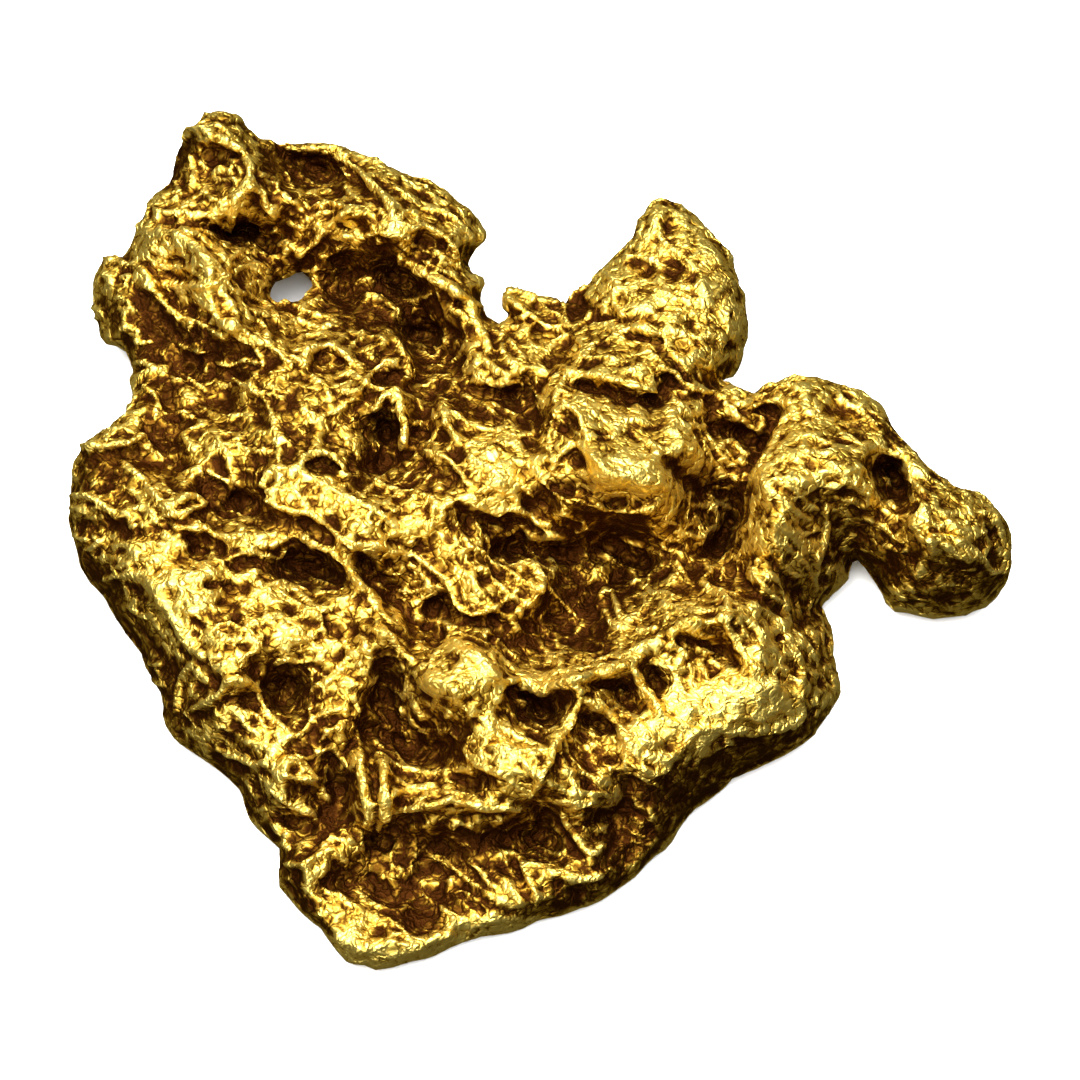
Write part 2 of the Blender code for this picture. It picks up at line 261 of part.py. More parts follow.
# Sunk spots and lines: depth, half-width, then the line along the bottom.
HOLLOWS = [
    (0.35, 0.30, [(-9.4, 11.05), (-8.8, 10.95)]),
    (0.3, 0.30, [(-10.1, 11.2), (-10.3, 10.8)]),
    (0.35, 0.32, [(-8.15, 9.75)]),
    (0.45, 0.34, [(-10.7, 9.0), (-9.8, 8.95), (-9.0, 8.75)]),
    (0.45, 0.45, [(-8.8, 8.6), (-8.1, 8.7)]),
    (0.3, 0.45, [(-6.9, 10.9), (-6.0, 10.4)]),
    (0.3, 0.35, [(-5.2, 10.3), (-4.7, 9.7)]),
    (0.3, 0.25, [(-3.4, 8.5), (-2.8, 8.35)]),
    (0.35, 0.25, [(-10.4, 7.95), (-10.0, 7.95)]),
    (0.35, 0.25, [(-10.5, 7.45), (-9.8, 7.4)]),
    (0.45, 0.40, [(-3.55, 5.9), (-3.0, 5.7)]),
    (0.35, 0.30, [(-2.4, 5.8), (-2.2, 5.85)]),
    (0.3, 0.40, [(-5.5, 7.0), (-4.9, 6.3)]),
    (0.35, 0.26, [(-6.2, 5.0), (-5.6, 4.95)]),
    (0.35, 0.28, [(-4.4, 4.6)]),
    (0.35, 0.32, [(-4.5, 3.3), (-4.3, 2.7)]),
    (0.35, 0.35, [(-3.2, 3.0), (-3.4, 2.6)]),
    (0.35, 0.35, [(-4.9, 2.0), (-4.5, 1.9)]),
    (0.35, 0.25, [(-6.3, 2.1), (-5.8, 2.0)]),
    (0.75, 0.45, [(-9.3, 1.35), (-8.8, 1.0), (-8.1, 1.1)]),
    (0.3, 0.35, [(-10.9, 2.9), (-10.2, 2.0)]),
    (0.3, 0.28, [(-12.6, 2.3), (-11.4, 2.35)]),
    (0.3, 0.28, [(-12.9, 0.5), (-11.9, 0.35)]),
    (0.35, 0.30, [(-8.0, 0.75), (-6.9, 0.45), (-6.1, 0.15)]),
    (0.5, 0.45, [(-7.0, -0.6), (-6.3, -0.9), (-5.7, -1.0)]),
    (0.3, 0.28, [(-9.6, -0.3), (-8.9, -0.3)]),
    (0.3, 0.28, [(-8.3, -0.8), (-7.6, -0.75)]),
    (0.3, 0.28, [(-8.9, -1.5), (-8.3, -1.25)]),
    (0.45, 0.32, [(-4.9, -0.7), (-4.4, -1.4), (-3.8, -1.75), (-3.5, -2.3), (-2.9, -2.65)]),
    (0.45, 0.32, [(-2.8, -1.7), (-2.2, -2.25), (-1.2, -2.3)]),
    (0.35, 0.32, [(-2.6, 1.9), (-2.3, 1.4)]),
    (0.45, 0.34, [(-2.1, 0.6), (-1.0, 0.45), (-0.4, 0.35)]),
    (0.35, 0.32, [(-1.2, -0.3), (-0.4, -0.3), (0.3, -0.5)]),
    (0.45, 0.34, [(-2.2, 4.1), (-1.2, 4.1), (-0.7, 4.0)]),
    (0.35, 0.26, [(0.75, 3.2)]),
    (0.45, 0.34, [(1.0, 2.25)]),
    (0.45, 0.26, [(1.2, 4.35), (2.0, 4.05), (3.2, 3.95)]),
    (0.3, 0.22, [(2.5, 5.7), (3.2, 5.55)]),
    (0.35, 0.24, [(3.2, 4.6), (3.9, 4.4)]),
    (0.3, 0.22, [(4.2, 4.1), (5.0, 3.9)]),
    (0.45, 0.30, [(1.2, 6.7), (1.4, 6.6)]),
    (0.35, 0.24, [(1.6, 6.15), (2.3, 6.15)]),
    (0.3, 0.24, [(3.05, 7.6), (3.1, 7.3)]),
    (0.55, 0.34, [(4.8, 3.1), (5.6, 3.0), (6.1, 2.8)]),
    (0.95, 0.32, [(6.5, 3.5), (6.45, 2.9), (5.95, 2.3), (5.65, 1.5), (5.4, 0.7), (5.0, 0.0)]),
    (0.35, 0.34, [(3.7, 2.0), (4.4, 1.5), (5.2, 1.2)]),
    (0.3, 0.28, [(6.8, 1.3), (7.2, 1.2)]),
    (0.3, 0.28, [(6.5, 0.7), (7.3, 0.4)]),
    (0.35, 0.32, [(6.4, -0.7), (7.2, -1.3)]),
    (0.35, 0.28, [(5.6, -1.3), (6.7, -1.9)]),
    (0.65, 0.40, [(9.4, 1.9), (9.8, 2.1), (10.0, 1.5)]),
    (0.3, 0.30, [(12.4, 0.25), (12.5, -0.4)]),
    (0.6, 0.36, [(-0.7, -4.25), (0.0, -4.5), (0.8, -4.35)]),
    (0.45, 0.30, [(1.5, -4.05), (2.3, -4.1)]),
    (0.45, 0.26, [(3.0, -3.5), (3.3, -4.0)]),
    (0.35, 0.30, [(1.3, -5.0), (1.8, -5.2)]),
    (0.35, 0.30, [(4.0, -2.8), (4.8, -3.0), (5.3, -3.4)]),
    (0.3, 0.26, [(3.5, -4.6)]),
    (0.65, 0.42, [(-7.4, -3.95), (-6.8, -4.0), (-7.1, -4.6)]),
    (0.35, 0.34, [(-9.2, -3.95), (-8.9, -4.05)]),
    (0.35, 0.28, [(-8.9, -4.75), (-8.0, -4.5)]),
    (0.35, 0.42, [(-4.3, -3.4), (-4.1, -4.6)]),
    (0.45, 0.50, [(-4.6, -5.3), (-3.6, -5.6), (-2.6, -5.6)]),
    (0.45, 0.32, [(-2.2, -6.55), (-1.5, -6.6)]),
    (0.35, 0.16, [(-4.6, -6.2), (-4.52, -7.2)]),
    (0.35, 0.35, [(-6.6, -5.9), (-5.8, -5.8)]),
    (0.35, 0.40, [(-5.6, -6.3), (-5.4, -7.4)]),
    (0.3, 0.30, [(-7.4, -7.4), (-6.4, -7.9)]),
    (0.35, 0.40, [(-4.4, -8.2), (-2.8, -8.0), (-1.4, -8.0)]),
    (0.3, 0.40, [(-5.9, -9.3), (-4.6, -9.4), (-3.2, -9.9)]),
    (0.3, 0.40, [(0.1, -7.6), (0.4, -8.3)]),
    (0.45, 0.40, [(2.4, -6.6), (2.1, -7.6)]),
]

# Broken edges: drop, reach, then the line of the edge, walked with the high side on the left.
LEDGES = [
    # slab over the waist and stub
    (0.95, 0.8, [(-8.9, 5.65), (-9.6, 6.0), (-10.2, 6.3), (-10.8, 7.0), (-11.0, 7.5), (-11.6, 7.9)]),
    (0.75, 0.7, [(-4.0, 8.45), (-5.0, 8.5), (-5.9, 8.2), (-6.7, 7.9)]),
    (0.65, 0.6, [(-8.9, 9.05), (-10.0, 9.1), (-10.9, 9.2)]),
    (0.65, 0.6, [(-7.0, 4.9), (-8.0, 4.75), (-8.9, 4.6)]),
    (0.65, 0.6, [(-1.6, 4.4), (-2.4, 4.5), (-3.1, 5.0)]),
    (0.65, 0.7, [(0.5, 0.3), (-0.5, 0.75), (-1.6, 0.75), (-2.1, 1.2), (-2.6, 2.0), (-3.2, 2.25)]),
    (0.55, 0.6, [(-5.3, -0.3), (-5.9, 0.2), (-6.6, 0.65), (-7.6, 0.9)]),
    (0.75, 0.7, [(0.1, -1.5), (-0.9, -1.9), (-1.8, -2.15), (-2.4, -1.7), (-3.0, -1.0), (-4.0, -0.55),
                (-4.8, -0.3)]),
    (1.5, 0.8, [(3.6, 1.2), (2.9, 0.95), (2.0, 0.85), (1.2, 1.2), (0.2, 1.4)]),
    (0.55, 0.6, [(-7.0, -0.5), (-7.7, -0.6), (-8.6, -0.55)]),
    (0.75, 0.6, [(-6.4, -3.6), (-7.0, -3.65), (-7.6, -3.6)]),
    (0.75, 0.6, [(-5.0, -5.0), (-5.8, -5.1), (-6.4, -5.6), (-7.3, -6.0), (-8.2, -6.1)]),
    (0.9, 0.7, [(-1.8, -5.6), (-2.6, -5.1), (-3.4, -5.35), (-4.0, -5.0)]),
    (0.85, 0.7, [(-0.4, -7.6), (-1.8, -7.6), (-3.2, -7.65), (-4.5, -7.95)]),
    (0.85, 0.7, [(7.2, -5.0), (6.4, -5.35), (5.2, -5.35), (4.3, -5.5), (3.8, -6.1), (3.0, -6.25),
                (2.2, -5.9)]),
    (0.65, 0.6, [(2.0, -7.1), (1.0, -7.05), (0.2, -6.85)]),
    (1.05, 0.8, [(12.9, -1.0), (12.0, -0.6), (11.2, 0.1), (10.4, 0.1), (9.3, 0.4)]),
    (0.65, 0.6, [(8.9, 0.5), (8.2, 0.2), (8.0, -0.5), (7.8, -1.1)]),
    (0.75, 0.7, [(-9.4, -3.2), (-10.0, -2.5), (-10.6, -1.7), (-11.2, -1.1), (-12.0, -1.0)]),
    (0.5, 0.5, [(-5.1, -8.7), (-6.0, -8.85), (-6.8, -9.05)]),
    (0.55, 0.5, [(-6.3, -7.6), (-7.1, -7.2), (-7.8, -6.7)]),
]

# How far the underside stands off the table at chosen spots.
BASE_SPOTS = [
    (-9.3, 10.8, 0.9), (-6.0, 9.0, 0.9), (-3.0, 8.6, 1.3), (-12.0, 6.4, 0.7), (-9.5, 6.0, 0.1),
    (-6.0, 5.0, 0.2), (-12.0, 1.5, 0.4), (-9.0, 1.0, 0.0), (-4.0, 1.0, 0.3), (-9.0, -3.5, 0.1),
    (-5.0, -4.0, 0.0), (-5.0, -9.0, 0.1), (-2.0, -10.0, 0.0), (0.0, -6.0, 0.0), (1.0, 4.0, 0.5),
    (0.0, 5.8, 1.1), (3.5, 8.0, 1.5), (5.0, 6.0, 1.2), (2.0, 0.0, 0.2), (7.5, 2.5, 0.6),
    (7.0, -0.5, 0.0), (6.0, -4.5, 0.0), (10.0, 1.0, 0.3), (12.2, -0.3, 0.5), (3.0, -7.0, 0.0),
]

# Random lumps over the top and the underside: height, spacing, and where the pattern starts.
TOP_LUMPS = 0.16
TOP_LUMP_SPACING = 0.9
TOP_LUMP_START = 3.7
BASE_LUMPS = 0.55
BASE_LUMP_SPACING = 3.2
BASE_LUMP_START = 8.1

# How far in a ledge's ends fade out, how sharp its edge is, and how round the surface is at a spot.
FADE = 0.6
EDGE_SHARPNESS = 0.13
SPOT_ROUNDING = 0.5

GOLD = (0.83, 0.57, 0.16, 1.0)
GOLD_ROUGHNESS = 0.32


def clear_scene():
    for thing in list(bpy.data.objects):
        bpy.data.objects.remove(thing, do_unlink=True)


def smooth_loop(corners, step):
    """A closed smooth curve through the corners (across, up, height), with a point about every step."""
    corners = np.array(corners)
    points = []
    for before, here, there, after in zip(
        np.roll(corners, 1, 0), corners, np.roll(corners, -1, 0), np.roll(corners, -2, 0)
    ):
        pieces = max(1, round(float(np.hypot(*(there - here)[:2])) / step))
        for t in np.arange(pieces) / pieces:
            points.append(
                0.5 * (2 * here + (there - before) * t
                       + (2 * before - 5 * here + 4 * there - after) * t**2
                       + (3 * (here - there) + after - before) * t**3)
            )
    return np.array(points)


def measure(points, line):
    """Each point's distance from a line, its side (+1 on the left), how far it lies from either end
    along the line, and the number of the nearest stretch with the place on it."""
    line = np.array(line, float)
    if len(line) == 1:
        away = np.hypot(*(points - line[0]).T)
        return away, np.ones(len(away)), np.full(len(away), np.inf), np.zeros(len(away), int), 0 * away
    start, run = line[:-1], np.diff(line, axis=0)
    length = np.hypot(*run.T)
    offset = points[:, None] - start
    along = np.clip((offset * run).sum(2) / length**2, 0, 1)
    away = np.hypot(*np.moveaxis(offset - along[..., None] * run, 2, 0))
    nearest = away.argmin(1)
    row = np.arange(len(points))
    run, offset, along = run[nearest], offset[row, nearest], along[row, nearest]
    side = np.sign(run[:, 0] * offset[:, 1] - run[:, 1] * offset[:, 0])
    walked = (np.cumsum(length) - length)[nearest] + along * length[nearest]
    return away[row, nearest], side, np.minimum(walked, length.sum() - walked), nearest, along


def spot_surface(spots):
    """A function of points on the sheet that passes through every spot height and bends little between."""
    spots = np.array(spots)

    def spread(points):
        away = points[:, None] - spots[:, :2]
        return np.hstack([np.sqrt((away**2).sum(2) + SPOT_ROUNDING**2), np.ones((len(points), 1))])

    system = np.vstack([spread(spots[:, :2]), np.append(np.ones(len(spots)), 0)])
    weights = np.linalg.solve(system, np.append(spots[:, 2], 0))
    return lambda points: spread(points) @ weights


def lumps(points, spacing, start):
    """Smooth random lumps between about -1 and 1."""
    spots = [Vector((across / spacing, up / spacing, start)) for across, up in points]
    return np.array([noise.fractal(spot, 0.8, 2.0, 3) for spot in spots])


def shoulder(away):
    """The height of the rim's round shoulder at a distance from the rim."""
    reach = 1 - np.clip(away / SHOULDER_DEPTH, 0, 1)
    return SHOULDER_HEIGHT * np.sqrt(1 - reach**2)


def softer(first, second, rounding):
    """The lower of two heights, with the corner between them rounded."""
    return 0.5 * (first + second - np.sqrt((first - second) ** 2 + rounding**2))


class Rim:
    """The rim and the hole's edge, and how every point of the sheet lies to them."""

    def __init__(self):
        self.loops = [smooth_loop(RIM, RIM_STEP), smooth_loop(HOLE, RIM_STEP)]
        self.points = np.vstack(self.loops)
        sizes = [len(loop) for loop in self.loops]
        first = np.repeat([0, sizes[0]], sizes)
        turn = np.arange(len(self.points)) - first
        self.edges = np.column_stack([turn + first, (turn + 1) % np.repeat(sizes, sizes) + first])

    def inside(self, points):
        """True between the rim and the hole."""
        ends = self.points[self.edges][:, :, :2]
        low, high = ends[:, 0], ends[:, 1]
        up = points[:, None, 1]
        crossed = (low[:, 1] > up) != (high[:, 1] > up)
        rise = np.where(high[:, 1] == low[:, 1], 1, high[:, 1] - low[:, 1])
        where = low[:, 0] + (up - low[:, 1]) / rise * (high[:, 0] - low[:, 0])
        return (crossed & (points[:, None, 0] < where)).sum(1) % 2 == 1

    def near(self, points):
        """The distance from the rim, its height there, and which way it faces: 1 is far, -1 near."""
        best = None
        for loop in self.loops:
            closed = np.vstack([loop, loop[:1]])
            away, _, _, stretch, along = measure(points, closed[:, :2])
            height = closed[stretch, 2] * (1 - along) + closed[stretch + 1, 2] * along
            run = (closed[stretch + 1] - closed[stretch])[:, :2]
            facing = run[:, 0] / np.hypot(*run.T)
            this = np.column_stack([away, height, facing])
            best = this if best is None else np.where(this[:, :1] < best[:, :1], this, best)
        return best.T


def top_heights(points, rim):
    """The top's height above the table at points of the sheet."""
    height = spot_surface(TOP_SPOTS)(points) + TOP_LUMPS * lumps(points, TOP_LUMP_SPACING, TOP_LUMP_START)
    for drop, reach, line in LEDGES:
        away, side, from_end, _, _ = measure(points, line)
        strength = drop / 2 * np.clip(from_end / FADE, 0, 1) * np.exp(-away / reach)
        height += strength * np.tanh(side * away / EDGE_SHARPNESS)
    for rise, width, line in RIDGES:
        height += rise * np.exp(-(measure(points, line)[0] / width) ** 2)
    for depth, width, line in HOLLOWS:
        height -= depth * np.exp(-(measure(points, line)[0] / width) ** 2)
    away, edge, facing = rim.near(points)
    climb = NEAR_WALL + (FAR_SHOULDER - NEAR_WALL) * np.clip(facing, 0, 1)
    return softer(height, edge + climb * away + shoulder(away), EDGE_ROUNDING)


def base_heights(points, rim):
    """The underside's height, with its lowest lumps worn flat on the table."""
    stand = spot_surface(BASE_SPOTS)(points) + BASE_LUMPS * lumps(points, BASE_LUMP_SPACING, BASE_LUMP_START)
    away, edge, facing = rim.near(points)
    fall = np.where(
        facing > 0,
        SIDE_WALL + (FAR_WALL - SIDE_WALL) * facing,
        SIDE_WALL + (NEAR_UNDERCUT - SIDE_WALL) * -facing,
    )
    height = -softer(-stand, fall * away + shoulder(away) - edge, EDGE_ROUNDING)
    thickness = LEAST_THICKNESS * np.clip(away / FADE, RIM_THINNING, 1)
    return np.maximum(np.minimum(height, top_heights(points, rim) - thickness), 0)


def thin(points, kept, space):
    """Adds to kept the points that lie at least space from all those already there."""
    kept = [tuple(point) for point in kept]
    cells = {}
    for point in kept:
        cells.setdefault((int(point[0] // space), int(point[1] // space)), []).append(point)
    for point in points:
        across, up = int(point[0] // space), int(point[1] // space)
        around = [
            other
            for i in (across - 1, across, across + 1)
            for j in (up - 1, up, up + 1)
            for other in cells.get((i, j), ())
        ]
        if all(math.hypot(point[0] - other[0], point[1] - other[1]) >= space for other in around):
            kept.append(tuple(point))
            cells.setdefault((across, up), []).append(tuple(point))
    return np.array(kept)


def along_features():
    """Points down each ridge and hollow, and beside each ledge, so that facets break along them."""
    points = []
    lines = [(line, (0.0,)) for _, _, line in RIDGES + HOLLOWS]
    lines += [(line, (-EDGE_SHARPNESS, EDGE_SHARPNESS)) for _, _, line in LEDGES]
    for line, sides in lines:
        line = np.array(line, float)
        points += [tuple(line[0]), tuple(line[-1])]
        for start, end in zip(line[:-1], line[1:]):
            run = end - start
            length = float(np.hypot(*run))
            left = np.array([-run[1], run[0]]) / length
            for t in np.linspace(0, 1, max(2, round(length / FEATURE_STEP) + 1)):
                points += [tuple(start + t * run + side * left) for side in sides]
    return np.array(points)


def scattered(step, seed):
    """Points spread loosely over the sheet, about a step apart."""
    random = np.random.default_rng(seed)
    across, up = np.meshgrid(np.arange(*SHEET_ACROSS, step), np.arange(*SHEET_UP, step * math.sqrt(0.75)))
    across[::2] += step / 2
    points = np.column_stack([across.ravel(), up.ravel()])
    return points + random.uniform(-SCATTER, SCATTER, points.shape) * step


def triangulate(points, rim):
    """Triangles between the points, inside the rim, whose own points come first in the list."""
    corners = [Vector(point) for point in points]
    edges = [tuple(int(end) for end in edge) for edge in rim.edges]
    _, _, faces, origins, _, _ = geometry.delaunay_2d_cdt(corners, edges, [], 0, 1e-6)
    faces = np.array([[origins[corner][0] for corner in face] for face in faces])
    return faces[rim.inside(points[faces].mean(1))]


def sheet_triangles(inner, rim, space):
    """The sheet's points and triangles. No triangle has all three corners on the rim."""
    away, _, _ = rim.near(inner)
    inner = inner[rim.inside(inner) & (away > space / 2)]
    points = np.vstack([rim.points[:, :2], inner])
    faces = triangulate(points, rim)
    for _ in range(CORNER_PASSES):
        on_rim = (faces < len(rim.points)).all(1)
        if on_rim.any():
            points = np.vstack([points, points[faces[on_rim]].mean(1)])
            faces = triangulate(points, rim)
    return points, faces


def raise_points(points, heights):
    """Carries sheet points along their lines of sight to their heights above the table."""
    station_out = STATION_DISTANCE * math.cos(STATION_ELEVATION)
    station_up = STATION_DISTANCE * math.sin(STATION_ELEVATION)
    share = (station_up + SHEET_LEVEL - heights) / station_up
    across = share * points[:, 0]
    deep = share * points[:, 1] / math.sin(STATION_ELEVATION) - (1 - share) * station_out
    return np.column_stack([across, deep, heights])


def skin(inner, rim, space, heights):
    """One side of the nugget: its raised points past the rim's own, and its triangles. Where the relief
    stretches an edge of a triangle too long, the edge gets a point in its middle."""
    count = len(rim.points)
    for refining in range(REFINING_PASSES, -1, -1):
        points, faces = sheet_triangles(inner, rim, space)
        inner = points[count:]
        raised = np.vstack([
            raise_points(rim.points[:, :2], rim.points[:, 2]),
            raise_points(inner, heights(inner, rim)),
        ])
        edges = np.vstack([faces[:, [0, 1]], faces[:, [1, 2]], faces[:, [2, 0]]])
        edges = np.unique(np.sort(edges, axis=1), axis=0)
        long = np.linalg.norm(raised[edges[:, 0]] - raised[edges[:, 1]], axis=1) > LONGEST_EDGE
        if not refining:
            return raised[count:], faces
        inner = thin(points[edges[long]].mean(1), inner, space / 3)


def nugget_mesh():
    rim = Rim()
    features = thin(along_features(), [], FEATURE_SPACE)
    features = features[rim.inside(features)]
    inner = thin(scattered(TOP_STEP, TOP_SEED), features, TOP_SPACE)
    top, top_faces = skin(inner, rim, TOP_STEP, top_heights)
    base, base_faces = skin(scattered(BASE_STEP, BASE_SEED), rim, BASE_STEP, base_heights)

    count = len(rim.points)
    edge = raise_points(rim.points[:, :2], rim.points[:, 2])
    base_faces = np.where(base_faces < count, base_faces, base_faces + len(top))

    corners = np.vstack([edge, top, base])
    low, high = corners.min(0), corners.max(0)
    corners -= [(low[0] + high[0]) / 2, (low[1] + high[1]) / 2, low[2]]
    mesh = bpy.data.meshes.new("nugget")
    mesh.from_pydata((corners * MM).tolist(), [], top_faces.tolist() + base_faces[:, ::-1].tolist())
    mesh.validate()
    return mesh


def gold():
    material = bpy.data.materials.new("native gold")
    material.use_nodes = True
    shader = material.node_tree.nodes["Principled BSDF"]
    shader.inputs["Base Color"].default_value = GOLD
    shader.inputs["Metallic"].default_value = 1.0
    shader.inputs["Roughness"].default_value = GOLD_ROUGHNESS
    return material


clear_scene()
nugget = bpy.data.objects.new("nugget", nugget_mesh())
nugget.data.materials.append(gold())
bpy.context.scene.collection.objects.link(nugget)
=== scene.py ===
import math

import bmesh
import bpy
import numpy as np
from mathutils import Matrix, Vector, noise
from mathutils.bvhtree import BVHTree


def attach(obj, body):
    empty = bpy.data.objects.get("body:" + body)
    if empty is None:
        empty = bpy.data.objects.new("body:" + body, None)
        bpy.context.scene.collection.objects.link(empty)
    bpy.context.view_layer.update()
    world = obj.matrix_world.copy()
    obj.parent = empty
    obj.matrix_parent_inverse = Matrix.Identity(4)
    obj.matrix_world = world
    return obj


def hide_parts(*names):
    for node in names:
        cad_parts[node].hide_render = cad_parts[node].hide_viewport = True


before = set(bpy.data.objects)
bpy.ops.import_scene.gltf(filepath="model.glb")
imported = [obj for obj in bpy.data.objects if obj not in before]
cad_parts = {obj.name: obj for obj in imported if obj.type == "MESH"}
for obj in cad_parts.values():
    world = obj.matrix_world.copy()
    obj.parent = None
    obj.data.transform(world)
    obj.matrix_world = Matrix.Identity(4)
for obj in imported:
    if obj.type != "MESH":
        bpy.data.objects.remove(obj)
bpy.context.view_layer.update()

# ---------------------------------------------------------------------------------------------------
# The lump's skin. Native gold, torn and crumpled when it left its vein and then rounded by a stream:
# one piece, so one mesh. It starts as the solid's own form, is made fine and smooth like clay, and is
# then worked over with the small folds, crumbs and pits that a worn nugget has.

MM = 0.001
CLAY_GRAIN = 0.085
MOST_TRIANGLES = 194000

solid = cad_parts["nugget"]
skin = bpy.data.objects.new("gold_skin", solid.data.copy())
bpy.context.scene.collection.objects.link(skin)
bpy.ops.object.select_all(action="DESELECT")
skin.select_set(True)
bpy.context.view_layer.objects.active = skin
skin.data.materials.clear()
skin.data.transform(Matrix.Scale(1 / MM, 4))
bpy.ops.object.mode_set(mode="EDIT")
bpy.ops.mesh.select_all(action="SELECT")
bpy.ops.mesh.remove_doubles(threshold=0.001)
bpy.ops.mesh.normals_make_consistent(inside=False)
bpy.ops.object.mode_set(mode="OBJECT")

# The far rim, which the solid has as a knife edge, is rounded here by three rows of overlapping beads.
FAR_RIM = [
    [(-8.0, 11.85, 2.65), (-7.4, 12.0, 2.7), (-6.8, 11.95, 2.8), (-6.2, 11.85, 2.95), (-5.6, 11.6, 3.1),
     (-5.0, 11.25, 3.3)],
    [(-7.4, 11.9, 2.45), (-6.8, 11.95, 2.4), (-6.2, 11.8, 2.5), (-5.6, 11.55, 2.75), (-5.1, 11.3, 3.0)],
    [(-7.2, 11.8, 2.1), (-6.6, 11.8, 2.05), (-6.0, 11.7, 2.2), (-5.5, 11.5, 2.4)],
]
RIM_RADIUS = 0.22
BEADS_A_SPAN = 6
beaded = bmesh.new()
beaded.from_mesh(skin.data)
for row in FAR_RIM:
    for start, end in zip(row, row[1:]):
        for share in np.linspace(0, 1, BEADS_A_SPAN, endpoint=False):
            bead = Matrix.Translation(Vector(start).lerp(Vector(end), share))
            bmesh.ops.create_icosphere(beaded, subdivisions=2, radius=RIM_RADIUS, matrix=bead)
beaded.to_mesh(skin.data)
beaded.free()

clay = skin.modifiers.new("clay", "REMESH")
clay.mode = "VOXEL"
clay.voxel_size = CLAY_GRAIN
bpy.ops.object.modifier_apply(modifier="clay")


def read_points():
    points = np.empty(len(skin.data.vertices) * 3, np.float32)
    skin.data.vertices.foreach_get("co", points)
    return points.reshape(-1, 3).astype(float)


def read_normals():
    normals = np.empty(len(skin.data.vertices) * 3, np.float32)
    skin.data.vertices.foreach_get("normal", normals)
    return normals.reshape(-1, 3).astype(float)


def write_points(points):
    skin.data.vertices.foreach_set("co", points.astype(np.float32).ravel())
    skin.data.update()


def read_edges():
    edges = np.empty(len(skin.data.edges) * 2, np.int32)
    skin.data.edges.foreach_get("vertices", edges)
    return edges.reshape(-1, 2)


def spread_out(values, edges, times):
    """Each point's value, averaged with its neighbours' a number of times."""
    ends = np.concatenate([edges[:, 0], edges[:, 1]])
    others = np.concatenate([edges[:, 1], edges[:, 0]])
    count = np.bincount(ends, minlength=len(values)).clip(1)
    values = values.copy()
    for _ in range(times):
        around = [np.bincount(ends, column[others], len(column)) / count for column in values.T]
        values = 0.5 * values + 0.5 * np.array(around).T
    return values


# The relief is worked from one station above the near side, on a sheet of (across, up) in millimetres.
STATION_ELEVATION = math.radians(60)
STATION_DISTANCE = 220.0
SHEET_LEVEL = 2.5
SHEET_CENTRE = (-0.0286, 0.7265)

station = np.array([
    -SHEET_CENTRE[0],
    -STATION_DISTANCE * math.cos(STATION_ELEVATION) - SHEET_CENTRE[1],
    STATION_DISTANCE * math.sin(STATION_ELEVATION) + SHEET_LEVEL,
])


def on_sheet(points):
    share = (station[2] - points[:, 2]) / (station[2] - SHEET_LEVEL)
    flat = station[:2] + (points[:, :2] - station[:2]) / share[:, None] + SHEET_CENTRE
    return flat * (1, math.sin(STATION_ELEVATION))


def line_distance(places, line, reach):
    """The distance of each place from a line on the sheet, for the places within reach of it. A lone point
    counts as a very short line."""
    line = np.array(line, float)
    if len(line) == 1:
        line = np.vstack([line, line + 0.01])
    near = ((places > line.min(0) - reach) & (places < line.max(0) + reach)).all(1).nonzero()[0]
    offset = places[near][:, None] - line[:-1]
    run = np.diff(line, axis=0)
    along = np.clip((offset * run).sum(2) / (run**2).sum(1), 0, 1)
    return near, np.linalg.norm(offset - along[..., None] * run, axis=2).min(1)


def worked(places, strokes, width=1.0):
    """How high the strokes together raise each place: pointed along the line, fading to a foot."""
    height = np.zeros(len(places))
    for strength, half_width, line in strokes:
        half_width = width * half_width
        near, away = line_distance(places, line, 3 * half_width)
        height[near] = np.maximum(height[near], strength / (1 + (away / half_width) ** 2) ** 2)
    return height


def painted(places, patches):
    """How much the patches together colour each place: full inside, with a soft edge."""
    tone = np.zeros(len(places))
    for strength, radius, line in patches:
        near, away = line_distance(places, line, 1.5 * radius)
        tone[near] = np.maximum(tone[near], strength * np.clip(1.5 - away / radius, 0, 1))
    return tone


